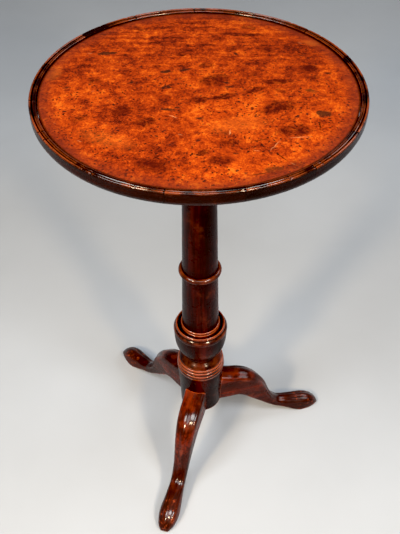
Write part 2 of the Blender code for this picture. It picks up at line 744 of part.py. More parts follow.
# ---------------------------------------------------------------- the whole table
def build_table():
    """Make every piece. The top turns on one empty, and the bolt slides with another on it."""
    clear_scene()
    root = empty("stand_root", (0, AXIS_Y, 0))
    tilt = empty("tilt_axis", (0, PIVOT_Y, PIVOT_Z), root)
    slide = empty("bolt_axis", (0, BOLT_NOSE_Y - PIVOT_Y, BOLT_MID_Z - PIVOT_Z), tilt)

    pillar = make_pillar(root)
    make_wedge(root)
    legs = make_legs(root)
    make_spider(root, pillar, legs)
    block = make_block(root)
    make_strike(root, block)

    board = make_board(tilt)
    make_veneer(tilt)
    make_rim(tilt)
    make_bearers(tilt, root, board)
    make_catch_fixed(tilt, root, board)
    make_spring(tilt)
    make_bolt(slide, root)
    make_knob(slide)


build_table()
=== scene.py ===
"""The finished look of a tilt top wine table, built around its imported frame.

The stand is a turned mahogany pillar on three cabriole legs. The round top has a burr veneer in a dish, a rim
glued up from fifteen segments, and two bearers that swing on a block on the pillar's head. A sprung brass
catch holds it level. Metres, +Z up; the front leg points along -Y.
"""

import logging
from dataclasses import dataclass
from enum import Enum
from functools import reduce
from math import atan2, ceil, cos, hypot, pi, radians, sin
from random import Random
from typing import Callable, Iterable, Sequence

import bmesh
import bpy
import numpy as np
from mathutils import Matrix, Vector, noise


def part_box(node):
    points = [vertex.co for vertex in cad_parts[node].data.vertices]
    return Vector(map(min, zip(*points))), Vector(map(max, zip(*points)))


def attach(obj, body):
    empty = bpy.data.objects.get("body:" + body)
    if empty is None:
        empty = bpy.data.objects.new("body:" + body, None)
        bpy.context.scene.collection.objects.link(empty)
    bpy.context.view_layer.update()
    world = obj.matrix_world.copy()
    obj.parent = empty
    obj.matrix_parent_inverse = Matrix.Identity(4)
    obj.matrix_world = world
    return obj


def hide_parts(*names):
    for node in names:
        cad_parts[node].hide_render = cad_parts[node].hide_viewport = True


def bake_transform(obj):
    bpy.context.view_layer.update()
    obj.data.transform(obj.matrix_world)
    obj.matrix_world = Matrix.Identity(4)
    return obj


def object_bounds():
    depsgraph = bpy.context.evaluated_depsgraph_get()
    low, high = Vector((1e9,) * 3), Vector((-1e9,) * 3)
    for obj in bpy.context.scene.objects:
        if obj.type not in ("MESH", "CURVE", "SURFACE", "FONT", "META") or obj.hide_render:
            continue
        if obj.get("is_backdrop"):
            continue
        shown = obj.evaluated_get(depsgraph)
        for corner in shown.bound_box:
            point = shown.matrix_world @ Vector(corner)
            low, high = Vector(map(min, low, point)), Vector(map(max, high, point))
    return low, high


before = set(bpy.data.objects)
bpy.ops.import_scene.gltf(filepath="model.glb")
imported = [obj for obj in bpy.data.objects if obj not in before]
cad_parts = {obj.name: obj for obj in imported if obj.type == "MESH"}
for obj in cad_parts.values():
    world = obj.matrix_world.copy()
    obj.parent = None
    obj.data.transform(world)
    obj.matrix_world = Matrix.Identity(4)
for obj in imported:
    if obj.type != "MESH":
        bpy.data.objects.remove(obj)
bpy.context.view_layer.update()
LOG = logging.getLogger("tilt_top_table")

Point = tuple[float, float]
Place = tuple[float, float, float]
Colour = tuple[float, float, float]

# the clearance between neighbouring pieces
GAP = 0.0003
# how far the veneer's figure is turned from the front leg, in degrees: its 12 o'clock is the side away from
# the camera
FIGURE_TURN = 16.4


def held(value: float) -> float:
    """A number kept between 0 and 1."""
    return min(1.0, max(0.0, value))


class Body(Enum):
    """The bodies that the joints move."""

    BASE = "base"
    TOP = "top"
    BOLT = "catch_bolt"


class Slot(Enum):
    """The record's material slots."""

    BURR = "burr_veneer"
    MAHOGANY = "mahogany"
    RED_MAHOGANY = "red_mahogany"
    SECONDARY = "secondary_wood"
    BRASS = "brass"
    STEEL = "spring_steel"
    IRON = "wrought_iron"


class Leg(Enum):
    """The three legs, each with its angle from +X in degrees."""

    FRONT = ("front", -90.0, 1.0)
    RIGHT = ("right", 29.8, 1.0)
    LEFT = ("left", 147.2, 1.035)

    def __init__(self, tag: str, angle: float, stretch: float) -> None:
        """Keep the leg's name, its angle and how much longer than the others it was cut."""
        self.tag = tag
        self.angle = angle
        self.stretch = stretch

    def turn(self, extra: float = 0.0) -> Matrix:
        """The rotation from +X to this leg, with some degrees more."""
        return Matrix.Rotation(radians(self.angle + extra), 4, "Z")


class Side(Enum):
    """Left and right of the front leg, with the sign of X there."""

    LEFT = -1
    RIGHT = 1

    @property
    def tag(self) -> str:
        """The word that the nodes use."""
        return self.name.lower()

    def span(self, inner: float, outer: float) -> list[float]:
        """Two distances from the middle as X on this side, the lower first."""
        return sorted((self.value * inner, self.value * outer))


class Axis(Enum):
    """The direction that a prism or a rod runs in."""

    X = "X"
    Y = "Y"
    Z = "Z"

    def lay(self, u: float, v: float, w: float) -> Place:
        """Turn two coordinates across and one along into a point."""
        return {"X": (w, u, v), "Y": (u, w, v), "Z": (u, v, w)}[self.value]


# ---------------------------------------------------------------- outlines
def arc(centre: Point, radius: float, start: float, end: float, steps: int) -> list[Point]:
    """Points on an arc, with its angles in degrees from the first axis.

    Args:
        centre: The arc's middle.
        radius: Its radius.
        start: The angle of its first point.
        end: The angle of its last point.
        steps: How many chords it has.

    Returns:
        The points, in order.
    """
    turns = [radians(start + (end - start) * n / steps) for n in range(steps + 1)]
    return [(centre[0] + radius * cos(t), centre[1] + radius * sin(t)) for t in turns]


def circle(radius: float, steps: int, middle: Point = (0.0, 0.0)) -> list[Point]:
    """A full circle as an outline."""
    return arc(middle, radius, 0, 360, steps)[:-1]


def through(stops: Sequence[Sequence[float]], pieces: int) -> list[tuple[float, ...]]:
    """A smooth curve through some stops, which may have any number of coordinates.

    Args:
        stops: The points that the curve passes.
        pieces: How many chords each span gets.

    Returns:
        The curve's points, the stops among them.
    """
    rows = np.array(stops, float)
    padded = np.vstack([2 * rows[0] - rows[1], rows, 2 * rows[-1] - rows[-2]])
    found = []
    for n in range(len(rows) - 1):
        a, b, c, d = padded[n : n + 4]
        for k in range(pieces):
            t = k / pieces
            bend = 2 * b + (c - a) * t + (2 * a - 5 * b + 4 * c - d) * t**2 + (3 * b - a - 3 * c + d) * t**3
            found.append(tuple(bend / 2))
    return found + [tuple(rows[-1])]


class Contour:
    """A turned outline, drawn from its top down as radius and height pairs."""

    def __init__(self, *start: Point) -> None:
        """Start with the first corners."""
        self.points: list[Point] = list(start)

    def line(self, *corners: Point, longest: float = 0.006) -> "Contour":
        """Add straight runs, cut into short lengths.

        Args:
            corners: Where the runs end.
            longest: The longest chord that a run is left with.

        Returns:
            The contour itself.
        """
        for corner in corners:
            a, b = self.points[-1]
            count = max(1, ceil(hypot(corner[0] - a, corner[1] - b) / longest))
            for k in range(1, count + 1):
                self.points.append((a + (corner[0] - a) * k / count, b + (corner[1] - b) * k / count))
        return self

    def curve(self, *stops: Point, pieces: int = 5) -> "Contour":
        """Add a smooth curve from the last point through some stops."""
        self.points += through([self.points[-1], *stops], pieces)[1:]
        return self

    def bead(self, root: float, out: float, top: float, bottom: float, steps: int = 12) -> "Contour":
        """Add a half-round bead.

        Args:
            root: The radius that it rises from.
            out: The radius of its crest.
            top: The height where it starts.
            bottom: The height where it ends.
            steps: How many chords it has.

        Returns:
            The contour itself.
        """
        middle, half = (top + bottom) / 2, (top - bottom) / 2
        turns = [pi / 2 - pi * n / steps for n in range(steps + 1)]
        self.points += [(root + (out - root) * cos(t), middle + half * sin(t)) for t in turns]
        return self


# ---------------------------------------------------------------- solids
def mesh_from(name: str, build: Callable[[bmesh.types.BMesh], None]) -> bpy.types.Mesh:
    """A mesh that a function fills through bmesh, with its faces pointing out."""
    work = bmesh.new()
    build(work)
    bmesh.ops.recalc_face_normals(work, faces=work.faces)
    mesh = bpy.data.meshes.new(name)
    work.to_mesh(mesh)
    work.free()
    return mesh


Ring = Sequence[bmesh.types.BMVert]


def skin(work: bmesh.types.BMesh, above: Ring, below: Ring) -> None:
    """Fill the space between two rings of as many points with faces."""
    for n in range(len(above)):
        m = (n + 1) % len(above)
        work.faces.new((above[n], above[m], below[m], below[n]))


def loft(name: str, rings: Sequence[Sequence[Sequence[float]]]) -> bpy.types.Mesh:
    """A skin over a row of closed rings, with a face on each end.

    Args:
        name: The mesh's name.
        rings: The rings, each with the same number of points.

    Returns:
        The mesh.
    """

    def build(work: bmesh.types.BMesh) -> None:
        """Make the rings and the skin between them."""
        loops = [[work.verts.new(point) for point in ring] for ring in rings]
        for above, below in zip(loops, loops[1:]):
            skin(work, above, below)
        work.faces.new(loops[0])
        work.faces.new(loops[-1])

    return mesh_from(name, build)


def turned(name: str, profile: Sequence[Point], steps: int) -> bpy.types.Mesh:
    """A solid turned about Z from a profile whose two ends are on the axis.

    Args:
        name: The mesh's name.
        profile: Radius and height pairs from the top down.
        steps: How many sides the turning has.

    Returns:
        The mesh.
    """

    def build(work: bmesh.types.BMesh) -> None:
        """Make a ring for each point and close the two ends on the axis."""
        turns = [2 * pi * n / steps for n in range(steps)]
        rings = [[work.verts.new((r * cos(t), r * sin(t), z)) for t in turns] for r, z in profile[1:-1]]
        for above, below in zip(rings, rings[1:]):
            skin(work, above, below)
        for ring, end in ((rings[0], profile[0]), (rings[-1], profile[-1])):
            tip = work.verts.new((0, 0, end[1]))
            for n in range(steps):
                work.faces.new((ring[n], ring[(n + 1) % steps], tip))

    return mesh_from(name, build)


def prism(name: str, outline: Sequence[Point], low: float, high: float, axis: Axis) -> bpy.types.Mesh:
    """A closed outline pushed along an axis from one station to another."""
    return loft(name, [[axis.lay(u, v, w) for u, v in outline] for w in (low, high)])


def slab(name: str, low: Place, high: Place) -> bpy.types.Mesh:
    """A plain block between two corners, as a blank to be cut and eased."""
    outline = [(low[0], low[1]), (high[0], low[1]), (high[0], high[1]), (low[0], high[1])]
    return prism(name, outline, low[2], high[2], Axis.Z)


def rod(
    radius: float, low: float, high: float, axis: Axis, steps: int, middle: Point = (0, 0)
) -> bpy.types.Mesh:
    """A round bar along an axis, about a middle across it."""
    return prism("rod", circle(radius, steps, middle), low, high, axis)


def evaluated(mesh: bpy.types.Mesh, modify: Callable[[bpy.types.Object], None]) -> bpy.types.Mesh:
    """A mesh with modifiers applied.

    Args:
        mesh: The mesh to start from.
        modify: Adds the modifiers to an object that holds the mesh.

    Returns:
        The new mesh.
    """
    holder = bpy.data.objects.new(mesh.name, mesh)
    bpy.context.scene.collection.objects.link(holder)
    modify(holder)
    bpy.context.view_layer.update()
    made = bpy.data.meshes.new_from_object(holder.evaluated_get(bpy.context.evaluated_depsgraph_get()))
    bpy.data.objects.remove(holder, do_unlink=True)
    return made


def carved(mesh: bpy.types.Mesh, *tools: bpy.types.Mesh, joined: bool = False) -> bpy.types.Mesh:
    """A mesh cut by some tools, or joined to them.

    Args:
        mesh: The body.
        tools: The meshes that cut it or join it.
        joined: True to join, false to cut.

    Returns:
        The new mesh.
    """
    holders = [bpy.data.objects.new("tool", tool) for tool in tools]

    def modify(body: bpy.types.Object) -> None:
        """Add one Boolean for each tool."""
        for holder in holders:
            bpy.context.scene.collection.objects.link(holder)
            cut = body.modifiers.new("cut", "BOOLEAN")
            cut.operation = "UNION" if joined else "DIFFERENCE"
            cut.solver = "EXACT"
            cut.object = holder

    made = evaluated(mesh, modify)
    for holder in holders:
        bpy.data.objects.remove(holder, do_unlink=True)
    return made


def eased(mesh: bpy.types.Mesh, width: float, angle: float = 40.0) -> bpy.types.Mesh:
    """A mesh whose sharp edges are rounded over.

    Args:
        mesh: The mesh.
        width: How far the rounding reaches from each edge.
        angle: Edges that turn by more degrees than this are rounded.

    Returns:
        The new mesh.
    """

    def modify(body: bpy.types.Object) -> None:
        """Add the Bevel."""
        soften = body.modifiers.new("ease", "BEVEL")
        soften.width = width
        soften.segments = 2
        soften.limit_method = "ANGLE"
        soften.angle_limit = radians(angle)

    return evaluated(mesh, modify)


# ---------------------------------------------------------------- shader sheets
class Value:
    """A number that varies over a surface. Arithmetic on it adds Math nodes."""

    def __init__(self, tree: "Tree", socket: bpy.types.NodeSocket) -> None:
        """Hold a socket and the tree that it is on."""
        self.tree = tree
        self.socket = socket

    def _math(self, operation: str, *terms: "Value | float") -> "Value":
        """A Math node on some terms."""
        made = self.tree.node("ShaderNodeMath", {"operation": operation}, dict(enumerate(terms)))
        return Value(self.tree, made.outputs[0])

    def __add__(self, other: "Value | float") -> "Value":
        """self + other."""
        return self._math("ADD", self, other)

    def __radd__(self, other: float) -> "Value":
        """other + self."""
        return self._math("ADD", other, self)

    def __sub__(self, other: "Value | float") -> "Value":
        """self - other."""
        return self._math("SUBTRACT", self, other)

    def __rsub__(self, other: float) -> "Value":
        """other - self."""
        return self._math("SUBTRACT", other, self)

    def __mul__(self, other: "Value | float") -> "Value":
        """self * other."""
        return self._math("MULTIPLY", self, other)

    def __rmul__(self, other: float) -> "Value":
        """other * self."""
        return self._math("MULTIPLY", other, self)

    def limited(self) -> "Value":
        """Kept between 0 and 1."""
        return self._math("MINIMUM", self._math("MAXIMUM", self, 0.0), 1.0)

    def highest(self, other: "Value | float") -> "Value":
        """The larger of two values."""
        return self._math("MAXIMUM", self, other)

    def rising(self, low: float, high: float) -> "Value":
        """0 up to low, 1 from high on, and smooth between. With high under low it falls."""
        made = self.tree.node(
            "ShaderNodeMapRange",
            {"interpolation_type": "SMOOTHSTEP"},
            {"Value": self, "From Min": low, "From Max": high},
        )
        return Value(self.tree, made.outputs["Result"])


Feed = Value | bpy.types.NodeSocket | float | Sequence[float]


class Tree:
    """A node tree, with short calls that fill it."""

    def __init__(self, owner: bpy.types.Material | bpy.types.World) -> None:
        """Start with the owner's tree, emptied."""
        owner.use_nodes = True
        self.tree = owner.node_tree
        self.tree.nodes.clear()

    def node(
        self,
        kind: str,
        settings: dict[str, object] | None = None,
        inputs: dict[str | int, Feed] | None = None,
    ) -> bpy.types.Node:
        """Add one node.

        Args:
            kind: The node's type.
            settings: Its own properties, which are set first; "stops" fills a colour ramp.
            inputs: A value or a link for each socket, by name or index.

        Returns:
            The node.
        """
        made = self.tree.nodes.new(kind)
        for name, value in (settings or {}).items():
            if name == "stops":
                self._fill(made.color_ramp, value)
            else:
                setattr(made, name, value)
        for key, value in (inputs or {}).items():
            self.feed(made.inputs[key], value)
        return made

    def _fill(self, ramp: bpy.types.ColorRamp, stops: Sequence[tuple[float, Colour]]) -> None:
        """Give a colour ramp its stops."""
        while len(ramp.elements) < len(stops):
            ramp.elements.new(1.0)
        for element, (position, colour) in zip(ramp.elements, stops):
            element.position = position
            element.color = (*colour, 1.0)

    def feed(self, socket: bpy.types.NodeSocket, value: Feed) -> None:
        """Link a socket, or set its value."""
        if isinstance(value, Value):
            value = value.socket
        if isinstance(value, bpy.types.NodeSocket):
            self.tree.links.new(value, socket)
        elif isinstance(value, tuple) and len(value) == 3 and socket.type == "RGBA":
            socket.default_value = (*value, 1.0)
        else:
            socket.default_value = value

    def ramp(self, value: Value, stops: Sequence[tuple[float, Colour]]) -> bpy.types.NodeSocket:
        """A colour read off a row of stops."""
        return self.node("ShaderNodeValToRGB", {"stops": stops}, {0: value}).outputs["Color"]

    def split(self, vector: bpy.types.NodeSocket) -> list[Value]:
        """A vector's three numbers."""
        made = self.node("ShaderNodeSeparateXYZ", inputs={0: vector})
        return [Value(self, socket) for socket in made.outputs]


class Sheet(Tree):
    """The node tree of one material."""

    def __init__(self, name: str) -> None:
        """Start a material that has only its surface shader."""
        self.material = bpy.data.materials.new(name)
        super().__init__(self.material)
        self.surface = self.node("ShaderNodeBsdfPrincipled")
        self.node("ShaderNodeOutputMaterial", inputs={"Surface": self.surface.outputs["BSDF"]})

    def attribute(self, name: str) -> bpy.types.NodeSocket:
        """A vector that the mesh carries."""
        return self.node("ShaderNodeAttribute", {"attribute_name": name}).outputs["Vector"]

    def vector(self, operation: str, *terms: Feed) -> bpy.types.NodeSocket:
        """A Vector Math node's vector."""
        return self.node("ShaderNodeVectorMath", {"operation": operation}, dict(enumerate(terms))).outputs[0]

    def scaled(self, vector: bpy.types.NodeSocket, sizes: Place) -> bpy.types.NodeSocket:
        """A vector multiplied along each axis."""
        return self.vector("MULTIPLY", vector, sizes)

    def length(self, vector: bpy.types.NodeSocket) -> Value:
        """How long a vector is."""
        made = self.node("ShaderNodeVectorMath", {"operation": "LENGTH"}, {0: vector})
        return Value(self, made.outputs["Value"])

    def warped(self, vector: bpy.types.NodeSocket, scale: float, reach: float) -> bpy.types.NodeSocket:
        """A vector pushed about by slow noise.

        Args:
            vector: The coordinates.
            scale: How many waves of noise there are to the metre.
            reach: How far the noise moves a point, in metres.

        Returns:
            The warped coordinates.
        """
        push = self.node("ShaderNodeTexNoise", inputs={"Vector": vector, "Scale": scale, "Detail": 3.0})
        return self.vector("MULTIPLY_ADD", push.outputs["Color"], (reach,) * 3, vector)

    def noise(
        self, vector: bpy.types.NodeSocket, scale: float, detail: float = 4.0, rough: float = 0.55
    ) -> Value:
        """Cloudy noise about one half, so many waves to a unit."""
        inputs = {"Vector": vector, "Scale": scale, "Detail": detail, "Roughness": rough}
        return Value(self, self.node("ShaderNodeTexNoise", inputs=inputs).outputs["Fac"])

    def cells(self, vector: bpy.types.NodeSocket, scale: float, feature: str = "F1") -> Value:
        """The distance in a field of cells, to their centres or their edges."""
        made = self.node("ShaderNodeTexVoronoi", {"feature": feature}, {"Vector": vector, "Scale": scale})
        return Value(self, made.outputs["Distance"])

    def mix(self, factor: Value | float, a: Feed, b: Feed) -> bpy.types.NodeSocket:
        """Two colours mixed."""
        return self.node("ShaderNodeMix", {"data_type": "RGBA"}, {0: factor, 6: a, 7: b}).outputs[2]

    def relief(self, height: Value, depth: float, strength: float) -> None:
        """Feed the shader's normal from a height."""
        bump = self.node("ShaderNodeBump", inputs={"Height": height, "Distance": depth, "Strength": strength})
        self.feed(self.surface.inputs["Normal"], bump.outputs["Normal"])

    def set(self, **sockets: Feed) -> None:
        """Set the shader's sockets, with an underscore for each space in a name."""
        for name, value in sockets.items():
            self.feed(self.surface.inputs[name.replace("_", " ")], value)


# ---------------------------------------------------------------- finishes
class Finish:
    """What a piece is made of, with its name, its slot and the material that it makes."""

    name: str
    slot: Slot

    def material(self) -> bpy.types.Material:
        """The material, made once."""
        return bpy.data.materials.get(self.name) or self._make()

    def _make(self) -> bpy.types.Material:
        """Build the node tree, which each kind of finish does in its own way."""
        raise NotImplementedError


@dataclass(frozen=True)
class Polish:
    """What the varnish or the wax on a surface does."""

    roughness: float
    coat_roughness: float = 0.15
    specular: float = 0.5


@dataclass(frozen=True)
class Wood(Finish):
    """Polished or bare wood with its grain along the first axis of the mesh's grain attribute."""

    name: str
    slot: Slot
    dark: Colour
    middle: Colour
    light: Colour
    worn: Colour
    grime: Colour
    polish: Polish
    wear: float = 1.0
    # how much lighter faces that look up are painted: painted light
    fade: float = 0.5
    gleam: float = 0.0
    patchy: float = 0.0
    scuffs_from: float = 9.0
    relief: float = 0.00012

    def _make(self) -> bpy.types.Material:
        """Build the node tree: ribbons and fibres along the grain, pores, rubbed edges, painted light on
        faces that look up, and grime.
        """
        sheet = Sheet(self.name)
        grain = sheet.attribute("grain")
        wear, fade, tone = sheet.split(sheet.attribute("age"))
        bent = sheet.warped(grain, 7.0, 0.006)
        ribbons = sheet.noise(sheet.scaled(bent, (1.6, 34.0, 34.0)), 1.0, 3.0)
        fibres = sheet.noise(sheet.scaled(bent, (9.0, 260.0, 260.0)), 1.0, 4.0, 0.6)
        pores = sheet.noise(sheet.scaled(grain, (95.0, 1500.0, 1500.0)), 1.0, 2.0).rising(0.60, 0.72)
        patches = sheet.noise(grain, 45.0, 5.0, 0.62)
        depth = (0.48 + (ribbons - 0.5) * 2.1 + (fibres - 0.5) * 1.1 + (patches - 0.5) * 0.8 + tone).limited()
        colour = sheet.ramp(depth, [(0.0, self.dark), (0.5, self.middle), (1.0, self.light)])
        colour = sheet.mix(pores * 0.55, colour, self.dark)
        # faces that look up are mixed towards the worn colour too: that share is painted light, the rest is
        # wear
        rubbed = wear * (1.3 * self.wear) + fade * fade * self.fade
        rubbed = rubbed + (patches - 0.5) * (1.7 * self.wear) - 0.14
        if self.patchy:
            rubbed = rubbed - sheet.noise(bent, 26.0, 3.0).rising(0.46, 0.62) * self.patchy
        rubbed = rubbed.limited()
        colour = sheet.mix(rubbed * 0.9, colour, self.worn)
        along = sheet.split(grain)[0]
        foot = along.rising(self.scuffs_from, self.scuffs_from + 0.03)
        scuffs = foot * sheet.noise(sheet.scaled(bent, (1.0, 1.0, 2.5)), 110.0, 6.0, 0.72)
        colour = sheet.mix(foot * (0.30 + (patches - 0.4).limited() * 2.0).limited(), colour, self.grime)
        colour = sheet.mix(scuffs.rising(0.54, 0.64) * 0.75, colour, self.worn)
        dirt = (wear * -1.6 + (patches - 0.5) * 0.7).limited()
        colour = sheet.mix(dirt * 0.85, colour, self.grime)
        smudge = sheet.noise(grain, 70.0, 3.0)
        rough = self.polish.roughness + (smudge - 0.5) * 0.22 + pores * 0.12 + dirt * 0.15 + scuffs * 0.25
        sheet.set(Base_Color=colour, Roughness=rough.limited(), Specular_IOR_Level=self.polish.specular)
        if self.gleam:
            handled = (wear.limited() + fade).limited() * (0.15 + patches * 1.4) * (1.0 - dirt)
            coat = (handled * self.gleam).limited()
            sheet.set(Coat_Weight=coat, Coat_Roughness=self.polish.coat_roughness)
        height = fibres * 0.5 - pores * 0.6 + patches * 0.9 + scuffs * 0.8
        sheet.relief(height, self.relief, 0.8)
        return sheet.material


@dataclass(frozen=True)
class Metal(Finish):
    """Brass, iron or steel that has tarnished, with bright rubbed edges."""

    name: str
    slot: Slot
    bright: Colour
    dull: Colour
    tarnish: Colour
    roughness: float
    metallic: float = 1.0
    relief: float = 0.00008

    def _make(self) -> bpy.types.Material:
        """Build the node tree: a dull skin, tarnish in patches and hollows, and rubbed edges."""
        sheet = Sheet(self.name)
        spot = sheet.attribute("grain")
        wear, _, tone = sheet.split(sheet.attribute("age"))
        clouds = sheet.noise(spot, 120.0, 6.0, 0.62)
        specks = sheet.noise(spot, 900.0, 3.0)
        brushed = sheet.noise(sheet.scaled(spot, (120.0, 3200.0, 3200.0)), 1.0, 2.0)
        colour = sheet.mix((0.5 + (clouds - 0.5) * 1.6 + tone).limited(), self.tarnish, self.dull)
        rubbed = (wear * 1.2 + (clouds - 0.5) * 1.4 - 0.05).limited()
        colour = sheet.mix(rubbed, colour, self.bright)
        dirt = (wear * -1.5 + (specks - 0.5) * 1.8 + (0.5 - clouds) * 1.2).limited()
        colour = sheet.mix(dirt * 0.8, colour, self.tarnish)
        rough = self.roughness + (clouds - 0.5) * 0.3 + (brushed - 0.5) * 0.15 + dirt * 0.2 - rubbed * 0.1
        metallic = (self.metallic - dirt * 0.5).limited()
        sheet.set(Base_Color=colour, Roughness=rough.limited(), Metallic=metallic)
        sheet.relief(specks * 0.6 + brushed * 0.4 + clouds, self.relief, 0.7)
        return sheet.material


class MarkKind(Enum):
    """The kinds of mark on the veneer, in the order they are laid, each with its colour and its cover."""

    GLOW = ((0.640, 0.1500, 0.0200), 0.38)
    CLOUD = ((0.060, 0.0080, 0.0062), 0.97)
    STAIN = ((0.045, 0.0230, 0.0090), 0.75)
    KNOT = ((0.014, 0.0100, 0.0085), 1.00)
    CRACK = ((0.018, 0.0070, 0.0040), 0.90)
    SCRATCH = ((0.740, 0.3400, 0.1300), 0.60)

    def __init__(self, colour: Colour, cover: float) -> None:
        """Keep the colour and the cover."""
        self.colour = colour
        self.cover = cover


@dataclass(frozen=True)
class Mark:
    """One mark in the figure: its clock hour, its share of the radius, and its half sizes in millimetres."""

    kind: MarkKind
    hour: float
    share: float
    half_long: float
    half_broad: float
    slant: float = 0.0
    depth: float = 0.8

    def mask(self, sheet: Sheet, where: bpy.types.NodeSocket, radius: float) -> Value:
        """1 in the mark's heart, and 0 outside it.

        Args:
            sheet: The sheet to draw on.
            where: The figure's coordinates.
            radius: The radius of the whole sheet of veneer.

        Returns:
            The mask, times the mark's depth.
        """
        mm, turn, out = 0.001, radians(30.0 * self.hour), self.share * radius
        inputs = {
            "Vector": where,
            "Location": (out * sin(turn), out * cos(turn), 0.0),
            "Rotation": (0.0, 0.0, radians(self.slant)),
            "Scale": (self.half_long * mm, self.half_broad * mm, 1.0),
        }
        local = sheet.node("ShaderNodeMapping", {"vector_type": "TEXTURE"}, inputs).outputs[0]
        return sheet.length(local).rising(1.15, 0.25) * self.depth


@dataclass(frozen=True)
class BurrVeneer(Finish):
    """Old burr veneer: orange mottle, streaks along the far side, pips, knots, stains and fine cracks."""

    name: str = "burr_veneer_finish"
    slot: Slot = Slot.BURR
    radius: float = 0.192

    def marks(self) -> list[Mark]:
        """The main marks, laid out on the clock with 12 on the far side, and a scatter of small ones."""
        main = {
            MarkKind.KNOT: (
                (10.2, 0.75, 18, 5, 4, 1.0), (1.0, 0.50, 6, 2.5, -45, 0.95), (10.5, 0.30, 9, 5, -5, 0.95),
                (11.3, 0.25, 12, 5, 8), (9.2, 0.20, 9, 6, 10), (7.3, 0.30, 13, 4, -5),
                (3.7, 0.80, 10, 8, -10, 1.0),
            ),
            MarkKind.CLOUD: (
                (11.5, 0.45, 11, 8, 25, 0.9), (1.5, 0.15, 30, 17, 18), (6.0, 0.12, 17, 8, 4, 1.0),
                (4.0, 0.18, 24, 8, 14, 1.0), (3.1, 0.35, 20, 7, 20, 1.0), (2.7, 0.50, 24, 8, 8, 1.0),
                (2.4, 0.75, 13, 14, -10, 0.9), (3.8, 0.52, 32, 15, 22, 0.9),
                (4.3, 0.72, 28, 15, 10, 0.95), (8.1, 0.52, 18, 15, 30), (7.4, 0.48, 20, 13, 10),
                (6.6, 0.82, 30, 16, -10), (5.7, 0.75, 20, 11, 5), (12.8, 0.75, 46, 7, -8),
                (11.2, 0.85, 44, 6, 4, 0.5),
            ),
            MarkKind.STAIN: (
                (3.1, 0.70, 9, 6, -15), (5.1, 0.92, 15, 7, 6, 0.9),
            ),
            MarkKind.GLOW: (
                (9.4, 0.95, 11, 20, -12, 0.9), (1.8, 0.95, 16, 8, -20, 1.0), (5.0, 0.45, 44, 20, 15, 0.5),
                (7.5, 0.75, 42, 18, -25, 0.5),
            ),
            MarkKind.CRACK: (
                (4.9, 0.65, 13, 1.1, 8, 0.9), (4.9, 0.85, 14, 1.0, -50, 0.9),
                (5.3, 0.92, 14, 1.0, 14, 0.9), (4.0, 0.82, 1.4, 13, -6),
            ),
            MarkKind.SCRATCH: (
                (4.4, 0.78, 16, 0.7, 4, 0.7), (4.8, 0.74, 14, 0.7, 55, 0.7),
                (6.9, 0.34, 7, 1.0, -38, 0.9), (5.3, 0.50, 1.2, 6, -8),
            ),
        }
        return [Mark(kind, *row) for kind, rows in main.items() for row in rows] + self.scatter()

    def scatter(self) -> list[Mark]:
        """Small knots, clouds and scratches at random."""
        draw = Random(21)
        made = []
        for kind, count, longest, shape, depth in (
            (MarkKind.KNOT, 12, 8.0, 0.45, 0.65),
            (MarkKind.CLOUD, 16, 19.0, 0.60, 0.60),
            (MarkKind.SCRATCH, 10, 4.5, 0.18, 0.60),
        ):
            for _ in range(count):
                hour, share = draw.uniform(0, 12), 0.95 * draw.random() ** 0.5
                size = longest * draw.uniform(0.4, 1.0)
                made.append(Mark(kind, hour, share, size, size * shape, draw.uniform(-35, 35), depth))
        return made

    def _ground(self, sheet: Sheet, figure: bpy.types.NodeSocket) -> tuple[bpy.types.NodeSocket, Value]:
        """The mottled and streaked ground.

        Args:
            sheet: The sheet to draw on.
            figure: The figure's coordinates.

        Returns:
            The ground's colour, and the fine figure for the relief.
        """
        bent = sheet.warped(figure, 17.0, 0.035)
        curled = sheet.warped(figure, 60.0, 0.012)
        far = sheet.split(figure)[1].rising(-0.05, 0.14)
        clouds = sheet.noise(bent, 18.0, 6.0, 0.66)
        mottle = sheet.noise(curled, 85.0, 7.0, 0.70)
        grit = sheet.noise(curled, 420.0, 5.0, 0.68)
        streaks = sheet.noise(sheet.scaled(curled, (12.0, 150.0, 1.0)), 1.0, 6.0, 0.70)
        level = 0.56 - far * 0.07 + (clouds - 0.5) * 1.0 + (mottle - 0.5) * 1.6 + (grit - 0.5) * 1.4
        level = level + (streaks - 0.5) * (0.30 + far * 1.20)
        stops = [
            (0.02, (0.032, 0.0080, 0.0060)),
            (0.24, (0.112, 0.0135, 0.0070)),
            (0.46, (0.245, 0.0290, 0.0075)),
            (0.66, (0.385, 0.0490, 0.0085)),
            (0.84, (0.520, 0.0830, 0.0095)),
            (1.00, (0.640, 0.1350, 0.0150)),
        ]
        colour = sheet.ramp(level.limited(), stops)
        where = sheet.noise(figure, 24.0, 3.0)
        near = 1.0 - far
        pips = sheet.cells(curled, 200.0).rising(0.32, 0.18) * where.rising(0.42, 0.52)
        colour = sheet.mix(pips * (0.45 + near * 0.50), colour, (0.024, 0.009, 0.008))
        eyes = sheet.cells(curled, 105.0).rising(0.27, 0.14)
        eyes = eyes * sheet.noise(figure, 31.0, 2.0).rising(0.50, 0.62)
        colour = sheet.mix(eyes * (0.20 + near * 0.7), colour, (0.034, 0.011, 0.010))
        veins = sheet.cells(curled, 70.0, "DISTANCE_TO_EDGE").rising(0.050, 0.010)
        veins = veins * mottle.rising(0.52, 0.64)
        colour = sheet.mix(veins * (0.06 + near * 0.20), colour, (0.700, 0.170, 0.020))
        hairs = sheet.noise(sheet.scaled(curled, (75.0, 620.0, 1.0)), 1.0, 4.0, 0.7).rising(0.61, 0.72)
        colour = sheet.mix(hairs * 0.65, colour, (0.070, 0.011, 0.004))
        return colour, mottle + grit * 0.5 + streaks * 0.4

    def _make(self) -> bpy.types.Material:
        """Build the node tree: the ground, the marks on it, grime by the rim, a painted shade line along its
        edge, and an uneven old polish.
        """
        sheet = Sheet(self.name)
        figure = sheet.attribute("grain")
        colour, fine = self._ground(sheet, figure)
        ragged = sheet.warped(sheet.warped(figure, 55.0, 0.010), 260.0, 0.0035)
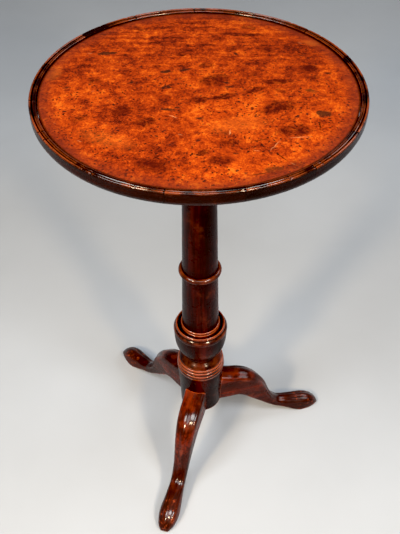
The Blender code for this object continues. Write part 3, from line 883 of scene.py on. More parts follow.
        # a warp pushes by half its reach on average, which these take back
        centred = sheet.vector("SUBTRACT", ragged, (0.0068,) * 3)
        steady = sheet.vector("SUBTRACT", sheet.warped(figure, 140.0, 0.004), (0.002,) * 3)
        broken = sheet.noise(figure, 170.0, 5.0, 0.7)
        tattered = sheet.noise(ragged, 120.0, 6.0, 0.72).rising(0.40, 0.56)
        layers = {}
        marks = self.marks()
        for kind in MarkKind:
            where = steady if kind in (MarkKind.CRACK, MarkKind.SCRATCH) else centred
            masks = [mark.mask(sheet, where, self.radius) for mark in marks if mark.kind is kind]
            both = reduce(Value.highest, masks)
            if kind in (MarkKind.CLOUD, MarkKind.KNOT, MarkKind.STAIN):
                both = (both + (broken - 0.5) * both * 3.4 + (fine - 0.95) * both * 2.0).rising(0.18, 0.80)
                both = both * (0.85 if kind is MarkKind.KNOT else 0.52 + tattered * 0.48)
            else:
                both = (both * (0.35 + broken * 1.3)).limited()
            both = both * kind.cover
            colour = sheet.mix(both, colour, kind.colour)
            layers[kind] = both
        pits = layers[MarkKind.KNOT] + layers[MarkKind.CRACK] * 0.6 + layers[MarkKind.SCRATCH] * 0.6
        edge = sheet.length(sheet.scaled(figure, (1.0, 1.0, 0.0)))
        smoke = sheet.noise(figure, 38.0, 4.0)
        grimy = edge.rising(self.radius - 0.026, self.radius + 0.001) * (0.25 + smoke * 1.1)
        colour = sheet.mix(grimy.limited() * 0.85, colour, (0.120, 0.022, 0.013))
        # painted shade: a dark line at the veneer's edge where the rim's inner wall shades the dish
        line = edge.rising(self.radius - 0.0035, self.radius - 0.0008)
        colour = sheet.mix(line * 0.8, colour, (0.028, 0.008, 0.004))
        smudge = sheet.noise(figure, 30.0, 5.0, 0.6)
        rough = 0.34 + (smudge - 0.5) * 0.30 + (broken - 0.5) * 0.16 + pits * 0.12
        sheet.set(Base_Color=colour, Roughness=rough.limited(), Coat_Weight=0.06, Coat_Roughness=0.14)
        sheet.set(Specular_IOR_Level=0.12)
        sheet.relief(fine * 0.35 + smudge * 1.6 - pits * 0.9 - broken * 0.3, 0.00022, 0.7)
        return sheet.material


PILLAR_WOOD = Wood(
    "pillar_mahogany",
    Slot.MAHOGANY,
    dark=(0.006, 0.0018, 0.0014),
    middle=(0.017, 0.0026, 0.0022),
    light=(0.068, 0.0064, 0.0038),
    worn=(0.330, 0.066, 0.0180),
    grime=(0.008, 0.0035, 0.0025),
    polish=Polish(0.29, 0.12, 0.08),
    fade=0.42,
    gleam=1.0,
)
LEG_WOOD = Wood(
    "leg_mahogany",
    Slot.RED_MAHOGANY,
    dark=(0.016, 0.0034, 0.0020),
    middle=(0.044, 0.0066, 0.0034),
    light=(0.200, 0.0210, 0.0060),
    worn=(0.370, 0.058, 0.0150),
    grime=(0.010, 0.0045, 0.0030),
    polish=Polish(0.28, 0.12, 0.10),
    fade=0.20,
    gleam=1.0,
    scuffs_from=0.145,
)
RIM_WOOD = Wood(
    "rim_mahogany",
    Slot.MAHOGANY,
    dark=(0.006, 0.0020, 0.0015),
    middle=(0.013, 0.0030, 0.0020),
    light=(0.038, 0.0062, 0.0032),
    worn=(0.290, 0.058, 0.0150),
    grime=(0.006, 0.0026, 0.0020),
    polish=Polish(0.26, 0.10, 0.10),
    wear=0.65,
    fade=0.04,
    gleam=0.8,
    patchy=0.75,
)
BOARD_WOOD = Wood(
    "board_mahogany",
    Slot.MAHOGANY,
    dark=(0.030, 0.0120, 0.0070),
    middle=(0.100, 0.0340, 0.0160),
    light=(0.180, 0.0650, 0.0300),
    worn=(0.260, 0.1150, 0.0600),
    grime=(0.020, 0.0120, 0.0090),
    polish=Polish(0.66, specular=0.3),
    fade=0.1,
    relief=0.0003,
)
BEARER_WOOD = Wood(
    "bearer_oak",
    Slot.SECONDARY,
    dark=(0.050, 0.0240, 0.0120),
    middle=(0.100, 0.0480, 0.0230),
    light=(0.170, 0.0880, 0.0440),
    worn=(0.230, 0.1300, 0.0720),
    grime=(0.022, 0.0140, 0.0100),
    polish=Polish(0.62, specular=0.3),
    fade=0.1,
    relief=0.0003,
)
BRASS = Metal(
    "aged_brass",
    Slot.BRASS,
    bright=(0.800, 0.580, 0.240),
    dull=(0.430, 0.270, 0.090),
    tarnish=(0.090, 0.055, 0.025),
    roughness=0.34,
)
IRON = Metal(
    "forged_iron",
    Slot.IRON,
    bright=(0.330, 0.310, 0.290),
    dull=(0.075, 0.062, 0.055),
    tarnish=(0.060, 0.028, 0.014),
    roughness=0.55,
    metallic=0.85,
    relief=0.0002,
)
STEEL = Metal(
    "spring_steel_wire",
    Slot.STEEL,
    bright=(0.560, 0.560, 0.560),
    dull=(0.240, 0.235, 0.230),
    tarnish=(0.060, 0.045, 0.035),
    roughness=0.35,
)


# ---------------------------------------------------------------- pieces
def mark_age_and_top_light(mesh: bpy.types.Mesh, tone: float, glued: bool) -> None:
    """Write the attribute of wear and painted top light on a mesh's corners: rubbed edges or hollows, how far
    it faces up (for painted light), its tone.

    A vertex's bend is the mean over its edges of one over the radius. From least_bend on it counts as rubbed.

    Args:
        mesh: The mesh, in its place.
        tone: How much lighter than its fellows the piece is.
        glued: True where the mesh's end faces are glued joints, whose edges hold dirt and aren't rubbed.
    """
    count = len(mesh.vertices)
    spots = np.array([vert.co for vert in mesh.vertices])
    normals = np.array([vert.normal for vert in mesh.vertices])
    ends = np.array([edge.vertices[:] for edge in mesh.edges])
    both_ways = ((ends[:, 0], ends[:, 1]), (ends[:, 1], ends[:, 0]))
    least_bend, bend_range, sharpest, nothing = 60, 260, 1200, 1e-10
    broad, joint_dirt = 0.007, -0.5
    bend, links, spread = np.zeros(count), np.zeros(count), np.zeros(count)
    for a, b in both_ways:
        run = spots[a] - spots[b]
        squared = np.maximum((run**2).sum(1), nothing)
        curve = np.clip(2 * (normals[a] * run).sum(1) / squared, -sharpest, sharpest)
        np.add.at(bend, a, curve)
        np.add.at(links, a, 1)
    bend /= np.maximum(links, 1)
    for a, b in both_ways:
        np.add.at(spread, a, bend[b])
    bend = 0.5 * bend + 0.5 * spread / np.maximum(links, 1)
    wear = np.sign(bend) * np.clip((np.abs(bend) - least_bend) / bend_range, 0, 1)
    if glued:
        for face in mesh.polygons:
            if len(face.vertices) > 4:
                wear[list(face.vertices)] = joint_dirt
    rows = np.zeros((len(mesh.loops), 3), np.float32)
    for face in mesh.polygons:
        # a broad flat face keeps its wear to itself, so that only its eased edges show it
        small = held(1.4 - face.area**0.5 / broad)
        for corner in face.loop_indices:
            vert = mesh.loops[corner].vertex_index
            # the second number, how far the corner faces up, paints light on faces that look up
            rows[corner] = (wear[vert] * small, max(0.0, normals[vert][2]), tone)
    mesh.attributes.new("age", "FLOAT_VECTOR", "CORNER").data.foreach_set("vector", rows.ravel())


@dataclass
class Workshop:
    """Dresses finished meshes, puts them in place and fixes them to their body."""

    axis: Vector
    count: int = 0

    def fit(
        self,
        name: str,
        mesh: bpy.types.Mesh,
        finish: Finish,
        body: Body | None,
        nodes: Sequence[str],
        place: Matrix = Matrix.Identity(4),
        grain: Matrix = Matrix.Identity(4),
        tone: float = 0.0,
        sharp: float = 38.0,
        glued: bool = False,
    ) -> bpy.types.Object:
        """Make one piece of the table.

        Args:
            name: The piece's name.
            mesh: Its mesh, about the pillar's axis or in its own frame.
            finish: What it is made of.
            body: The body that it moves with, or none to leave it on no body.
            nodes: The nodes of the frame that it stands for.
            place: From the mesh's frame to the pillar's axis.
            grain: From the mesh's frame to one whose first axis is along the grain.
            tone: How much lighter than its fellows it is.
            sharp: Edges that turn by more degrees than this stay crisp.
            glued: True where its end faces are glued joints.

        Returns:
            The piece.
        """
        flow = np.array([grain @ vert.co for vert in mesh.vertices], np.float32)
        mesh.attributes.new("grain", "FLOAT_VECTOR", "POINT").data.foreach_set("vector", flow.ravel())
        mesh.transform(Matrix.Translation(self.axis) @ place)
        mesh.shade_smooth()
        mesh.set_sharp_from_angle(angle=radians(sharp))
        mark_age_and_top_light(mesh, tone, glued)
        mesh.materials.clear()
        mesh.materials.append(finish.material())
        made = bpy.data.objects.new(name, mesh)
        bpy.context.scene.collection.objects.link(made)
        if body is not None:
            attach(made, body.value)
        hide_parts(*nodes)
        self.count += 1
        LOG.info("%s stands for %s: %d faces", name, ", ".join(nodes), len(mesh.polygons))
        return made


# from a mesh's own axes to ones whose first axis runs up, or along Y
UPRIGHT = Matrix(((0, 0, 1, 0), (1, 0, 0, 0), (0, 1, 0, 0), (0, 0, 0, 1)))
ALONG_Y = Matrix(((0, 1, 0, 0), (1, 0, 0, 0), (0, 0, 1, 0), (0, 0, 0, 1)))


@dataclass
class TurnedPillar:
    """The pillar: tenon, tapering shaft with a ring, cup, waist, dome, beads and the drum for the legs."""

    tenon: float = 0.0125
    head: float = 0.0220
    head_z: float = 0.640
    taper: float = 0.0183
    under: float = 0.0885
    key_top: float = 0.130
    wedge_length: float = 0.021
    steps: int = 112

    def __post_init__(self) -> None:
        """Read the pillar's top from the frame."""
        self.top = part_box("pillar")[1].z
        self.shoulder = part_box("tilt_block")[0].z - GAP

    def shaft(self, z: float) -> float:
        """The shaft's radius at a height."""
        return self.head + self.taper * (self.head_z - z)

    def drum(self, grow: float = 0.0) -> list[Point]:
        """The drum's flare, from its upper lip down."""
        stops = [(0.0374, 0.1762), (0.0372, 0.1650), (0.0363, 0.1510), (0.0354, 0.1350), (0.0345, 0.1170)]
        stops += [(0.0338, 0.0950), (0.0337, self.under)]
        return [(r + grow, z) for r, z in through(stops, 4)]

    def outline(self) -> list[Point]:
        """The whole outline from the top of the tenon to the middle of the underside."""
        made = Contour((0, self.top), (self.tenon - 0.0004, self.top), (self.tenon, self.top - 0.0004))
        made.line((self.tenon, self.shoulder), (self.head - 0.0012, self.shoulder), (self.head, self.head_z))
        made.line((self.shaft(0.4002), 0.4002)).bead(self.shaft(0.3945), 0.0319, 0.3995, 0.3895, 16)
        made.line((self.shaft(0.3886), 0.3886), (self.shaft(0.2840), 0.2840))
        made.bead(0.0286, 0.0306, 0.2830, 0.2775)
        made.curve((0.0300, 0.2765), (0.0312, 0.2728), (0.0338, 0.2722), (0.0354, 0.2762), pieces=4)
        made.curve((0.0371, 0.2782), (0.0388, 0.2768), (0.0393, 0.2745), pieces=6)
        made.line((0.0393, 0.2733)).curve((0.0412, 0.2712), (0.0421, 0.2690), (0.0421, 0.2662), pieces=6)
        made.line((0.0416, 0.2652))
        made.curve((0.0413, 0.2540), (0.0405, 0.2440), (0.0390, 0.2350), (0.0366, 0.2280), (0.0335, 0.2228))
        made.curve((0.0300, 0.2190), (0.0270, 0.2155), (0.0256, 0.2115), (0.0262, 0.2080), (0.0285, 0.2052))
        made.curve((0.0318, 0.2018), (0.0340, 0.1990), (0.0347, 0.1976), pieces=4)
        made.bead(0.0346, 0.0368, 0.1972, 0.1922).bead(0.0360, 0.0380, 0.1912, 0.1848)
        made.bead(0.0366, 0.0386, 0.1836, 0.1768).line((0.0370, 0.1764))
        made.points += self.drum()
        made.points += [(self.drum()[-1][0] - 0.0010, self.under), (0.012, self.under), (0, self.under)]
        return made.points

    def key(self, grow: float = 0.0, reach: float = 0.040) -> list[Point]:
        """A leg's dovetail key in plan.

        Args:
            grow: The clearance round it.
            reach: How far out it runs.

        Returns:
            The key's outline.
        """
        wide, narrow, inner, shoulder = 0.007 + grow, 0.005 + grow, 0.018 - grow, 0.034
        half = [(inner, wide), (shoulder, narrow), (reach, narrow)]
        return half + [(x, -y) for x, y in reversed(half)]

    def build(self, shop: Workshop) -> None:
        """Turn the pillar, cut its key slots and its kerf, and fit it with its wedge."""
        slots, past_drum, below_drum = [], 0.060, 0.05
        for leg in Leg:
            slot = prism("key_slot", self.key(GAP, past_drum), below_drum, self.key_top + GAP, Axis.Z)
            slot.transform(leg.turn())
            slots.append(slot)
        half, across, depth = 0.0016, 0.03, self.wedge_length + GAP
        kerf = slab("kerf", (-half, -across, self.top - depth), (half, across, self.top + 0.01))
        mesh = carved(turned("pillar", self.outline(), self.steps), *slots, kerf)
        shop.fit("turned_pillar", mesh, PILLAR_WOOD, Body.BASE, ["pillar"], grain=UPRIGHT)
        self.wedge(shop)

    def wedge(self, shop: Workshop) -> None:
        """The wedge that spreads the tenon."""
        low, top, thin, thick, half = self.top - self.wedge_length, self.top, 0.0008, 0.0013, 0.0112
        sides = [(-thin, low), (thin, low), (thick, top), (-thick, top)]
        mesh = eased(prism("wedge", sides, -half, half, Axis.Y), 0.0002)
        shop.fit("oak_wedge", mesh, BEARER_WOOD, Body.BASE, ["tenon_wedge"], grain=UPRIGHT, tone=0.15)


@dataclass
class CabrioleLegs:
    """Three cabriole legs with crowned knees and pad feet, each with a dovetail key in the drum."""

    pillar: TurnedPillar
    shoulder: float = 0.034
    knee_end: float = 0.085
    shin_blend: float = 0.030
    between: int = 6
    # upper edge and lower edge as distance and height, half width, and the crown's rise over the upper edges
    stations: tuple[tuple[Point, Point, float, float], ...] = (
        ((0.0240, 0.1440), (0.0240, 0.0885), 0.0175, 0.0002),
        ((0.0350, 0.1405), (0.0350, 0.0885), 0.0175, 0.0002),
        ((0.0500, 0.1350), (0.0500, 0.0885), 0.0175, 0.0016),
        ((0.0670, 0.1312), (0.0585, 0.0885), 0.0173, 0.0032),
        ((0.0820, 0.1245), (0.0660, 0.0862), 0.0168, 0.0034),
        ((0.0955, 0.1140), (0.0750, 0.0800), 0.0158, 0.0034),
        ((0.1060, 0.1015), (0.0840, 0.0710), 0.0148, 0.0030),
        ((0.1138, 0.0875), (0.0940, 0.0610), 0.0138, 0.0026),
        ((0.1195, 0.0715), (0.1040, 0.0515), 0.0130, 0.0022),
        ((0.1250, 0.0570), (0.1140, 0.0420), 0.0125, 0.0020),
        ((0.1325, 0.0445), (0.1240, 0.0330), 0.0122, 0.0018),
        ((0.1420, 0.0350), (0.1340, 0.0255), 0.0121, 0.0018),
        ((0.1530, 0.0312), (0.1460, 0.0195), 0.0125, 0.0020),
        ((0.1670, 0.0295), (0.1580, 0.0130), 0.0135, 0.0020),
        ((0.1810, 0.0270), (0.1720, 0.0050), 0.0148, 0.0020),
        ((0.1940, 0.0240), (0.1840, 0.0000), 0.0153, 0.0018),
        ((0.2055, 0.0185), (0.1960, 0.0000), 0.0144, 0.0015),
        ((0.2140, 0.0110), (0.2070, 0.0000), 0.0114, 0.0010),
        ((0.2187, 0.0045), (0.2150, 0.0000), 0.0066, 0.0003),
    )

    def section(self, row: Sequence[float]) -> list[Place]:
        """One section: soft upper corners, a crowned top and crisper lower corners.

        Args:
            row: Upper distance and height, lower distance and height, half width, and crown.

        Returns:
            The section's points, in the leg's own frame.
        """
        upper, lower = Vector(row[0:2]), Vector((row[2], max(0.0, row[3])))
        half, crown = row[4:6]
        rise = upper - lower
        tall = rise.length
        shin = held((upper.x - self.knee_end) / self.shin_blend)
        soft = min(0.0060 + 0.0035 * shin, (0.42 + 0.26 * shin) * half, 0.45 * tall)
        crisp = min(0.0030, 0.3 * tall)
        right = [(0.5 * (half - crisp), 0.0)] + arc((half - crisp, crisp), crisp, -90, 0, 5)
        right += [(half, crisp + (tall - soft - crisp) * k / 3) for k in (1, 2)]
        right += arc((half - soft, tall - soft), soft, 0, 90, 7)
        flat = half - soft
        right += [(flat * (1 - k / 4), tall + crown * (1 - (1 - k / 4) ** 2)) for k in (1, 2, 3)]
        outline = [(0.0, 0.0)] + right + [(0.0, tall + crown)] + [(-t, h) for t, h in reversed(right)]
        up = rise.normalized()
        return [(lower.x + h * up.x, t, lower.y + h * up.y) for t, h in outline]

    def mesh(self, leg: Leg) -> bpy.types.Mesh:
        """One leg along +X, scribed to the drum, with its key."""
        stops = [(*upper, *lower, half, crown) for upper, lower, half, crown in self.stations]
        rings = [self.section(row) for row in through(stops, self.between)]
        stretch, shift = leg.stretch, self.shoulder * (1 - leg.stretch)
        rings = [[(x * stretch + shift, y, z) for x, y, z in ring] for ring in rings]
        over, under = 0.170, 0.05
        flare = [point for point in self.pillar.drum(GAP) if point[1] < over]
        drum = [(0, over), *flare, (flare[-1][0], under), (0, under)]
        key = prism("leg_key", self.pillar.key(), self.pillar.under + 0.0005, self.pillar.key_top, Axis.Z)
        scribed = carved(loft(f"{leg.tag}_leg", rings), turned("drum", drum, self.pillar.steps))
        return carved(scribed, key, joined=True)

    def build(self, shop: Workshop) -> None:
        """Fit the three legs."""
        for leg, tone in zip(Leg, (0.06, 0.0, -0.04)):
            name, node = f"{leg.tag}_cabriole_leg", f"leg_{leg.tag}"
            shop.fit(name, self.mesh(leg), LEG_WOOD, Body.BASE, [node], leg.turn(), tone=tone)


@dataclass
class DishedTop:
    """The board, the burr veneer in its dish, and the rim of fifteen segments round them."""

    segments: int = 15
    start: float = 252.0
    steps: int = 14
    board_sides: int = 180
    veneer_sides: int = 144
    joint: float = 0.00008
    unevenness: float = 0.0001

    def __post_init__(self) -> None:
        """Read the levels and radii from the frame."""
        low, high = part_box("top_veneer")
        self.dish = high.z
        self.veneer_low = low.z
        self.veneer_radius = (high.x - low.x) / 2
        low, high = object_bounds()
        self.radius, self.height = high.x, high.z
        self.board_low, self.board_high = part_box("top_board")[0].z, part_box("top_board")[1].z

    def build(self, shop: Workshop) -> None:
        """Fit the board, the veneer and the rim."""
        self.board(shop)
        self.veneer(shop)
        self.rim(shop)

    def board(self, shop: Workshop) -> None:
        """The board, with its underside left from the plane."""
        r, low, high, ease = self.veneer_radius - 0.0001, self.board_low, self.board_high, 0.0004
        outline = Contour((0, high)).line((r - ease, high), longest=0.02).line((r, high - ease))
        outline.line((r, low + ease), (r - ease, low)).line((0, low), longest=0.02)
        mesh = turned("board", outline.points, self.board_sides)
        turn = Matrix.Rotation(radians(-FIGURE_TURN), 4, "Z")
        shop.fit("top_under_board", mesh, BOARD_WOOD, Body.TOP, ["top_board"], grain=turn)

    def veneer(self, shop: Workshop) -> None:
        """The veneer: a sheet that has moved a little with the years, so that it isn't quite flat."""
        r, low, high = self.veneer_radius, self.veneer_low, self.dish
        outline = Contour((0, high)).line((r - 0.0003, high)).line((r, high - 0.0003))
        outline.line((r, low)).line((0, low), longest=0.05)
        mesh = turned("veneer", outline.points, self.veneer_sides)
        for vert in mesh.vertices:
            if vert.co.z > high - 0.0001:
                wave = noise.noise(Vector((vert.co.x * 22, vert.co.y * 22, 3.7)))
                vert.co.z -= self.unevenness * (0.5 + 0.5 * wave)
        flat = Matrix.Diagonal((1, 1, 0, 1)) @ Matrix.Rotation(radians(-FIGURE_TURN), 4, "Z")
        shop.fit("burr_veneer", mesh, BurrVeneer(), Body.TOP, ["top_veneer"], grain=flat)

    def section(self) -> list[Point]:
        """The rim's section: inner bead over the dish, quirk, outer bead, and a side that rounds under."""
        r, z = self.radius, self.height
        inner = r - 0.0095
        made = Contour((inner, self.board_low + 0.0004)).line((inner, self.dish - 0.0005), longest=0.005)
        made.curve((r - 0.0090, z - 0.0020), (r - 0.0084, z - 0.0010), (r - 0.0070, z - 0.0003), pieces=3)
        made.curve((r - 0.0056, z - 0.0006), (r - 0.0047, z - 0.0012), (r - 0.0040, z - 0.0022), pieces=3)
        made.curve((r - 0.0036, z - 0.0026), (r - 0.0032, z - 0.0021), pieces=2)
        bead = ((r - 0.0029, z - 0.0009), (r - 0.0020, z), (r - 0.0009, z - 0.0003), (r - 0.0002, z - 0.0013))
        side = ((r, z - 0.0030), (r - 0.0001, z - 0.0060), (r, z - 0.0095), (r - 0.0002, z - 0.0132))
        made.curve(*bead, pieces=4).curve(*side, pieces=3)
        made.curve((r - 0.0020, z - 0.0168), (r - 0.0060, z - 0.0188), pieces=4)
        return made.points

    def rim(self, shop: Workshop) -> None:
        """The segments, each with its own grain and tone, and small nicks by the joints."""
        draw, section = Random(7), self.section()
        sweep, play = 2 * pi / self.segments, self.joint / self.radius
        for n in range(self.segments):
            start = radians(self.start) + n * sweep
            nicks = [(draw.uniform(0.1, 0.9), draw.uniform(0.0002, 0.0006)) for _ in range(2)]
            nicks += [(0.0, draw.uniform(0.0002, 0.0007)), (1.0, draw.uniform(0.0002, 0.0007))]
            rings = []
            for share in self.stations(nicks):
                turn = start + play / 2 + (sweep - play) * share
                rings.append([self.worn_point(r, z, turn, share, nicks) for r, z in section])
            middle = Matrix.Rotation(-(start + sweep / 2), 4, "Z")
            grain = ALONG_Y @ Matrix.Translation((-self.radius + 0.11 * n, 0.07 * n, 0)) @ middle
            name, node = f"rim_piece_{n + 1:02d}", f"rim_segment_{n + 1:02d}"
            tone = draw.uniform(-0.16, 0.06)
            mesh = loft(name, rings)
            shop.fit(name, mesh, RIM_WOOD, Body.TOP, [node], grain=grain, tone=tone, sharp=50, glued=True)

    def stations(self, nicks: Sequence[Point]) -> list[float]:
        """Where a segment has its rings, as shares of its length, closer by the nicks."""
        spots = {n / self.steps for n in range(self.steps + 1)}
        for where, _ in nicks:
            spots |= {held(where + step) for step in (-0.03, -0.015, 0.0, 0.015, 0.03)}
        ordered = sorted(spots)
        closest = 0.004
        return [spot for n, spot in enumerate(ordered) if n == 0 or spot - ordered[n - 1] > closest]

    def worn_point(self, r: float, z: float, turn: float, share: float, nicks: Sequence[Point]) -> Place:
        """A point of the section, pulled in where the rim is worn or nicked.

        Args:
            r: Its radius.
            z: Its height.
            turn: Its angle round the top.
            share: How far along the segment it is.
            nicks: Where the nicks are, and how deep.

        Returns:
            The point.
        """
        wave = 0.5 + 0.5 * noise.noise(Vector((cos(turn) * 9, sin(turn) * 9, z * 300)))
        crest_depth, nick_reach, rounded = 0.0016, 0.028, 0.003
        crest = max(0.0, 1 - (self.height - z) / crest_depth)
        dent = sum(depth * max(0.0, 1 - abs(share - where) / nick_reach) for where, depth in nicks)
        fall = crest * (0.00018 * wave + dent)
        pull = (0.00012 * wave + 0.5 * dent * crest) if r > self.radius - rounded else 0.0
        return ((r - pull) * cos(turn), (r - pull) * sin(turn), z - fall)


@dataclass(frozen=True)
class Screw:
    """A countersunk wood screw with a slotted head. Its head's face is at z = 0, and it points down."""

    family: str
    head: float
    shank: float
    length: float
    finish: Metal
    sides: int = 32

    def profile(self, grow: float = 0.0, above: float = 0.0) -> list[Point]:
        """The screw's outline or, grown, the hole that it sits in.

        Args:
            grow: The clearance round the screw.
            above: How far the hole runs on over the head.

        Returns:
            Radius and height pairs from the top down.
        """
        neck, tip = -0.5 * self.head - grow, -self.length - grow
        face = [(self.head + grow, above)] if above else [(0.6 * self.head, 0.0)]
        made = [(0, above), *face, (self.head + grow, -0.00015 - grow), (self.shank + grow, neck)]
        return made + [(self.shank + grow, tip + 2 * self.shank), (0.3 * self.shank + grow, tip), (0, tip)]

    def holes(self, places: Iterable[Matrix]) -> list[bpy.types.Mesh]:
        """The shapes of the holes, as tools in their places."""
        made = []
        for place in places:
            made.append(turned("hole", self.profile(GAP, 0.004), self.sides))
            made[-1].transform(place)
        return made

    def drive(self, shop: Workshop, tag: str, place: Matrix, body: Body, twist: float) -> None:
        """Fit one screw, with its slot turned by some degrees."""
        head = self.head
        slot = slab("slot", (-2 * head, -0.11 * head, -0.26 * head), (2 * head, 0.11 * head, head))
        mesh = carved(turned("screw", self.profile(), self.sides), slot)
        turn = Matrix.Rotation(radians(twist), 4, "Z")
        node = f"{self.family}_{tag}"
        shop.fit(f"slotted_{node}", mesh, self.finish, body, [node], place @ turn, sharp=30)


UPWARD = Matrix.Rotation(pi, 4, "X")
BACKWARD = Matrix.Rotation(pi / 2, 4, "X")


@dataclass
class TiltBlock:
    """The block on the tenon, with two trunnions that the top swings on, and the brass strike."""

    half: float = 0.050
    trunnion: float = 0.010
    reach: float = 0.0235
    tenon: float = 0.0125
    pocket_half: float = 0.0065
    pocket_depth: float = 0.007
    strike_thick: float = 0.002
    screw: Screw = Screw("strike_screw", 0.0028, 0.0015, 0.014, BRASS)

    def __post_init__(self) -> None:
        """Read the block's levels from the frame."""
        low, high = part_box("tilt_block")
        self.under, self.top = low.z, high.z
        self.depth = self.top - self.under
        self.pivot = (self.half - self.depth / 2, self.top - self.depth / 2)
        low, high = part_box("strike_plate")
        self.strike_low, self.strike_high = low.z, high.z
        self.bolt_z = (low.z + high.z) / 2

    def pocket(self) -> bpy.types.Mesh:
        """The mortise that the bolt shoots into."""
        half, tall, before = self.pocket_half, 0.0035, 0.02
        low = (-half, -self.half - before, self.bolt_z - tall)
        return slab("pocket", low, (half, -self.half + self.pocket_depth, self.bolt_z + tall))

    def build(self, shop: Workshop) -> None:
        """Fit the block and its strike plate."""
        back = arc(self.pivot, self.depth / 2, 90, 0, 24)
        outline = [(-self.half, self.under), (-self.half, self.top), *back, (self.half, self.under)]
        block = prism("block", outline, -self.half, self.half, Axis.X)
        stubs = []
        for side in Side:
            ends = side.span(self.half - 0.004, self.half + self.reach)
            stubs.append(rod(self.trunnion, *ends, Axis.X, 64, self.pivot))
        block = carved(block, *stubs, joined=True)
        socket = rod(self.tenon + GAP, self.under - 0.02, self.top + 0.02, Axis.Z, 64)
        block = eased(carved(block, socket, self.pocket()), 0.0006, 50)
        shop.fit("pivot_block", block, BEARER_WOOD, Body.BASE, ["tilt_block"])
        self.strike(shop)

    def strike(self, shop: Workshop) -> None:
        """Fit the strike plate and its screws."""
        face = -self.half - GAP
        front, half, screw_x = face - self.strike_thick, 0.020, 0.0135
        plate = slab("strike", (-half, front, self.strike_low), (half, face, self.strike_high))
        places = [Matrix.Translation((x, front, self.bolt_z)) @ BACKWARD for x in (-screw_x, screw_x)]
        plate = eased(carved(plate, self.pocket(), *self.screw.holes(places)), 0.0003)
        shop.fit("brass_strike", plate, BRASS, Body.BASE, ["strike_plate"])
        for side, place, twist in zip(Side, places, (20, 65)):
            self.screw.drive(shop, side.tag, place, Body.BASE, twist)


@dataclass
class IronPlate:
    """The three-armed iron plate under the drum, screwed to the legs and to the drum."""

    hub: float = 0.026
    arm_half: float = 0.008
    arm_end: float = 0.050
    screw_ring: float = 0.020
    slot_turn: float = 37.0
    screw: Screw = Screw("spider_screw", 0.0034, 0.0018, 0.018, IRON)

    def outline(self) -> list[Point]:
        """The hub, with a round-ended arm under each leg."""
        points: list[Point] = []
        bite = atan2(self.arm_half, (self.hub**2 - self.arm_half**2) ** 0.5)
        angles = sorted(radians(leg.angle) for leg in Leg)
        for n, here in enumerate(angles):
            turn = Matrix.Rotation(here, 2)
            points += [tuple(turn @ Vector(p)) for p in arc((self.arm_end, 0), self.arm_half, -90, 90, 20)]
            after = angles[(n + 1) % 3] + (2 * pi if n == 2 else 0)
            start, stop = here + bite, after - bite
            hub = [start + (stop - start) * k / 16 for k in range(17)]
            points += [(self.hub * cos(t), self.hub * sin(t)) for t in hub]
        return points

    def build(self, shop: Workshop) -> None:
        """Fit the plate and its six screws."""
        low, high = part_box("spider_plate")
        places = {}
        for leg in Leg:
            for tag, extra, ring in (("leg", 0.0, self.arm_end), ("hub", 60.0, self.screw_ring)):
                at = leg.turn(extra) @ Vector((ring, 0, low.z))
                places[f"{tag}_{leg.tag}"] = Matrix.Translation(at) @ UPWARD
        blank = prism("plate", self.outline(), low.z, high.z, Axis.Z)
        plate = eased(carved(blank, *self.screw.holes(places.values())), 0.00025)
        shop.fit("iron_spider", plate, IRON, Body.BASE, ["spider_plate"])
        for n, (tag, place) in enumerate(places.items()):
            self.screw.drive(shop, tag, place, Body.BASE, self.slot_turn * n)


@dataclass
class Bearers:
    """The two bearers under the top: full depth by the block, and an ogee to a thin lap at each end."""

    block: TiltBlock
    width: float = 0.024
    reach: float = 0.150
    ogee: float = 0.110
    swell: float = 0.011
    lap_depth: float = 0.014
    play: float = 0.0005
    screw_ys: tuple[float, ...] = (-0.136, -0.030, 0.136)
    screw: Screw = Screw("bearer_screw", 0.0036, 0.0019, 0.0255, IRON)

    def outline(self) -> list[Point]:
        """A bearer from the side."""
        top, low, lap = self.block.top, self.block.under, self.block.top - self.lap_depth
        hollow = (low + lap) / 2
        under = [(-self.reach, top), (-self.reach, lap + 0.002), (-self.reach + 0.002, lap)]
        under += arc((-self.ogee - self.swell, hollow), self.swell, 90, 0, 12)
        under += arc((-self.ogee + self.swell, hollow), self.swell, 180, 270, 12)[1:]
        return under + [(-y, z) for y, z in reversed(under)]

    def build(self, shop: Workshop) -> None:
        """Fit both bearers and their screws."""
        inner = self.block.half + self.play
        for side in Side:
            bar = prism("bearer", self.outline(), *side.span(inner, inner + self.width), Axis.X)
            through_bar = side.span(self.block.half - 0.010, inner + self.width + 0.0155)
            bore = rod(self.block.trunnion + GAP, *through_bar, Axis.X, 64, self.block.pivot)
            x = side.value * (inner + self.width / 2)
            head = self.block.top - self.lap_depth
            places = [Matrix.Translation((x, y, head)) @ UPWARD for y in self.screw_ys]
            bar = eased(carved(bar, bore, *self.screw.holes(places)), 0.0006, 50)
            node = f"bearer_{side.tag}"
            shop.fit(f"oak_{node}", bar, BEARER_WOOD, Body.TOP, [node], grain=ALONG_Y, tone=0.05 * side.value)
            for n, place in enumerate(places, 1):
                self.screw.drive(shop, f"{side.tag}_{n}", place, Body.TOP, 50 * n + 20 * side.value)


